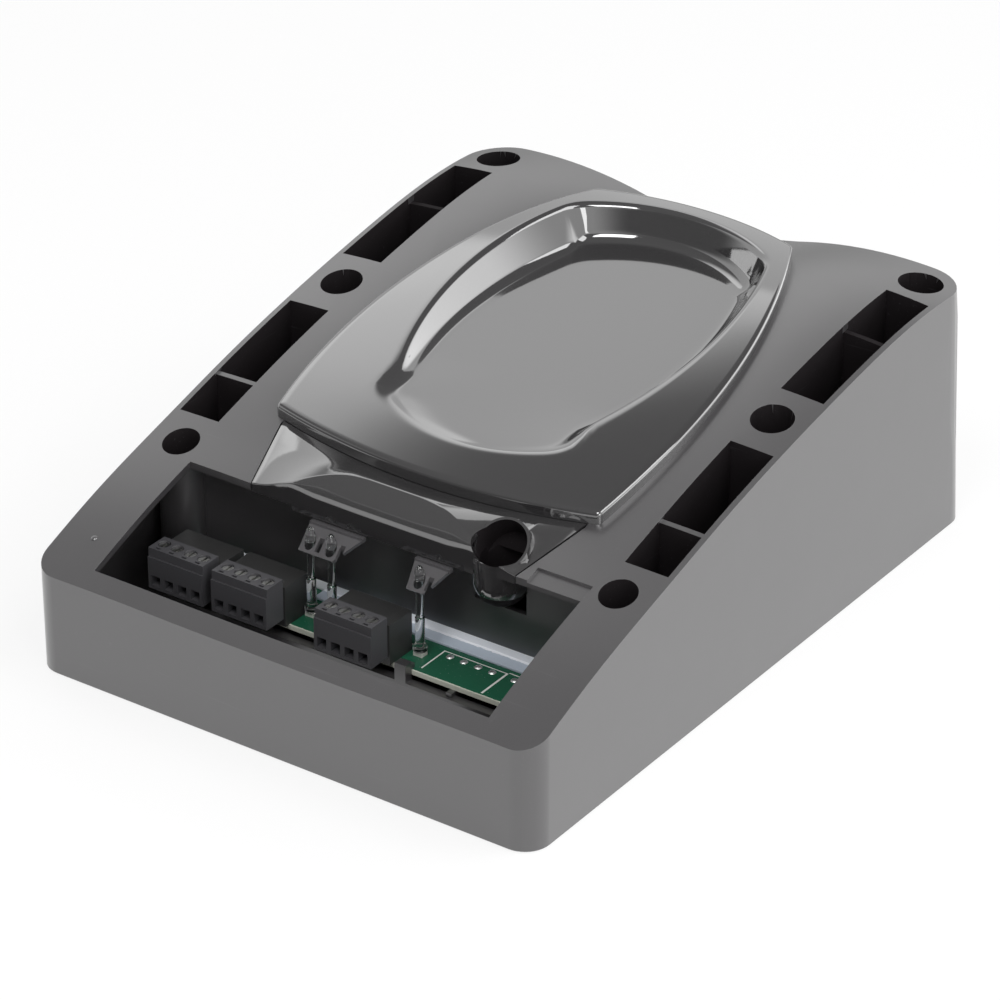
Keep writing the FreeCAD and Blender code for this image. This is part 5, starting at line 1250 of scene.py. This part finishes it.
# %% The low band that the sides of the body show
LOW, HIGH = 0.610, 0.632
BAND_LIGHT, FLOOR_BAND = 1.15, (0.18, 0.36)
CAMERA_SIDE = ((-0.35, -0.93, 0.0), 0.55, 0.85)
RIGHT_BACK = ((0.66, 0.75, 0.0), 0.72, 0.86)
LEFT_BACK = ((-0.5, 0.86, 0.0), 0.80, 0.95)
CAMERA_CHANGE, RIGHT_CHANGE, LEFT_CHANGE = -0.95, 1.9, -0.85
camera_side = zone(*CAMERA_SIDE, (-400, -700))
right_back = zone(*RIGHT_BACK, (-400, -900))
left_back = zone(*LEFT_BACK, (-400, -1100))
raised = zone((0, 0, 1), *FLOOR_BAND, (-400, -1300))
near_floor = math_node(studio, "SUBTRACT", 1.0, raised, place=(-200, -1300))
left_back = math_node(studio, "MULTIPLY", left_back, near_floor, place=(-100, -1100))
low_light = math_node(studio, "MULTIPLY_ADD", camera_side, CAMERA_CHANGE, BAND_LIGHT, place=(-200, -500))
low_light = math_node(studio, "MULTIPLY_ADD", right_back, RIGHT_CHANGE, low_light, place=(-200, -700))
low_light = math_node(studio, "MULTIPLY_ADD", left_back, LEFT_CHANGE, low_light, place=(-100, -900))
aloft = zone((0, 0, 1), LOW, HIGH, (-400, -300))
above_light = math_node(studio, "SUBTRACT", window_light, low_light, place=(-100, 0))
around = math_node(studio, "MULTIPLY_ADD", above_light, aloft, low_light, place=(0, 100))
print("low band below", LOW, "of the way up")

# %% The camera itself sees plain white
in_view = add_node(studio, "ShaderNodeLightPath", (-300, 400)).outputs["Is Camera Ray"]
strength = add_node(studio, "ShaderNodeMix", (100, 200), data_type="FLOAT")
studio.links.new(in_view, strength.inputs["Factor"])
studio.links.new(around, strength.inputs["A"])
strength.inputs["B"].default_value = 1.0
studio.links.new(strength.outputs["Result"], backdrop.inputs["Strength"])
bpy.context.scene.view_settings.view_transform = "Standard"
print("view transform:", bpy.context.scene.view_settings.view_transform)


# %% Three soft lamps for the highlights on the right
def softbox(name, place, target, width, height, power):
    lamp_data = bpy.data.lights.new(name, "AREA")
    lamp_data.shape = "RECTANGLE"
    lamp_data.size, lamp_data.size_y, lamp_data.energy = width, height, power
    lamp = bpy.data.objects.new(name, lamp_data)
    bpy.context.scene.collection.objects.link(lamp)
    lamp.location = place
    lamp.rotation_euler = (Vector(target) - Vector(place)).to_track_quat("-Z", "Y").to_euler()
    return lamp


softbox("right_high", (0.7, 0.2, 1.1), (0, 0, 0), 0.7, 0.7, 6.0)
softbox("front_high", (0.15, -0.75, 1.25), (0, -0.05, 0), 0.5, 0.5, 7.0)
softbox("right_front", (0.98, -0.66, 0.50), (0, 0.05, 0.08), 0.34, 0.7, 3.0)
print("lamps:", len(bpy.data.lights))

# %% [markdown]
# ## The camera
# The photograph was taken with a long lens from the right and above. Place and focal length come from a
# fit to the straight edges of the body, with the terminals' pitch as the scale.

# %% Camera
SENSOR, FOCAL_LENGTH = 36.0, 158.27
CAMERA_PLACE, CAMERA_TARGET = (0.6834, -0.9802, 0.6963), (-0.03591, 0.04330, 0.0)
camera_data = bpy.data.cameras.new("camera")
camera_data.sensor_width = SENSOR
camera_data.lens = FOCAL_LENGTH
camera = bpy.data.objects.new("camera", camera_data)
bpy.context.scene.collection.objects.link(camera)
camera.location = CAMERA_PLACE
camera.rotation_euler = (Vector(CAMERA_TARGET) - camera.location).to_track_quat("-Z", "Y").to_euler()
bpy.context.scene.camera = camera
print("camera:", round(camera.location.length, 3), "m from the origin")
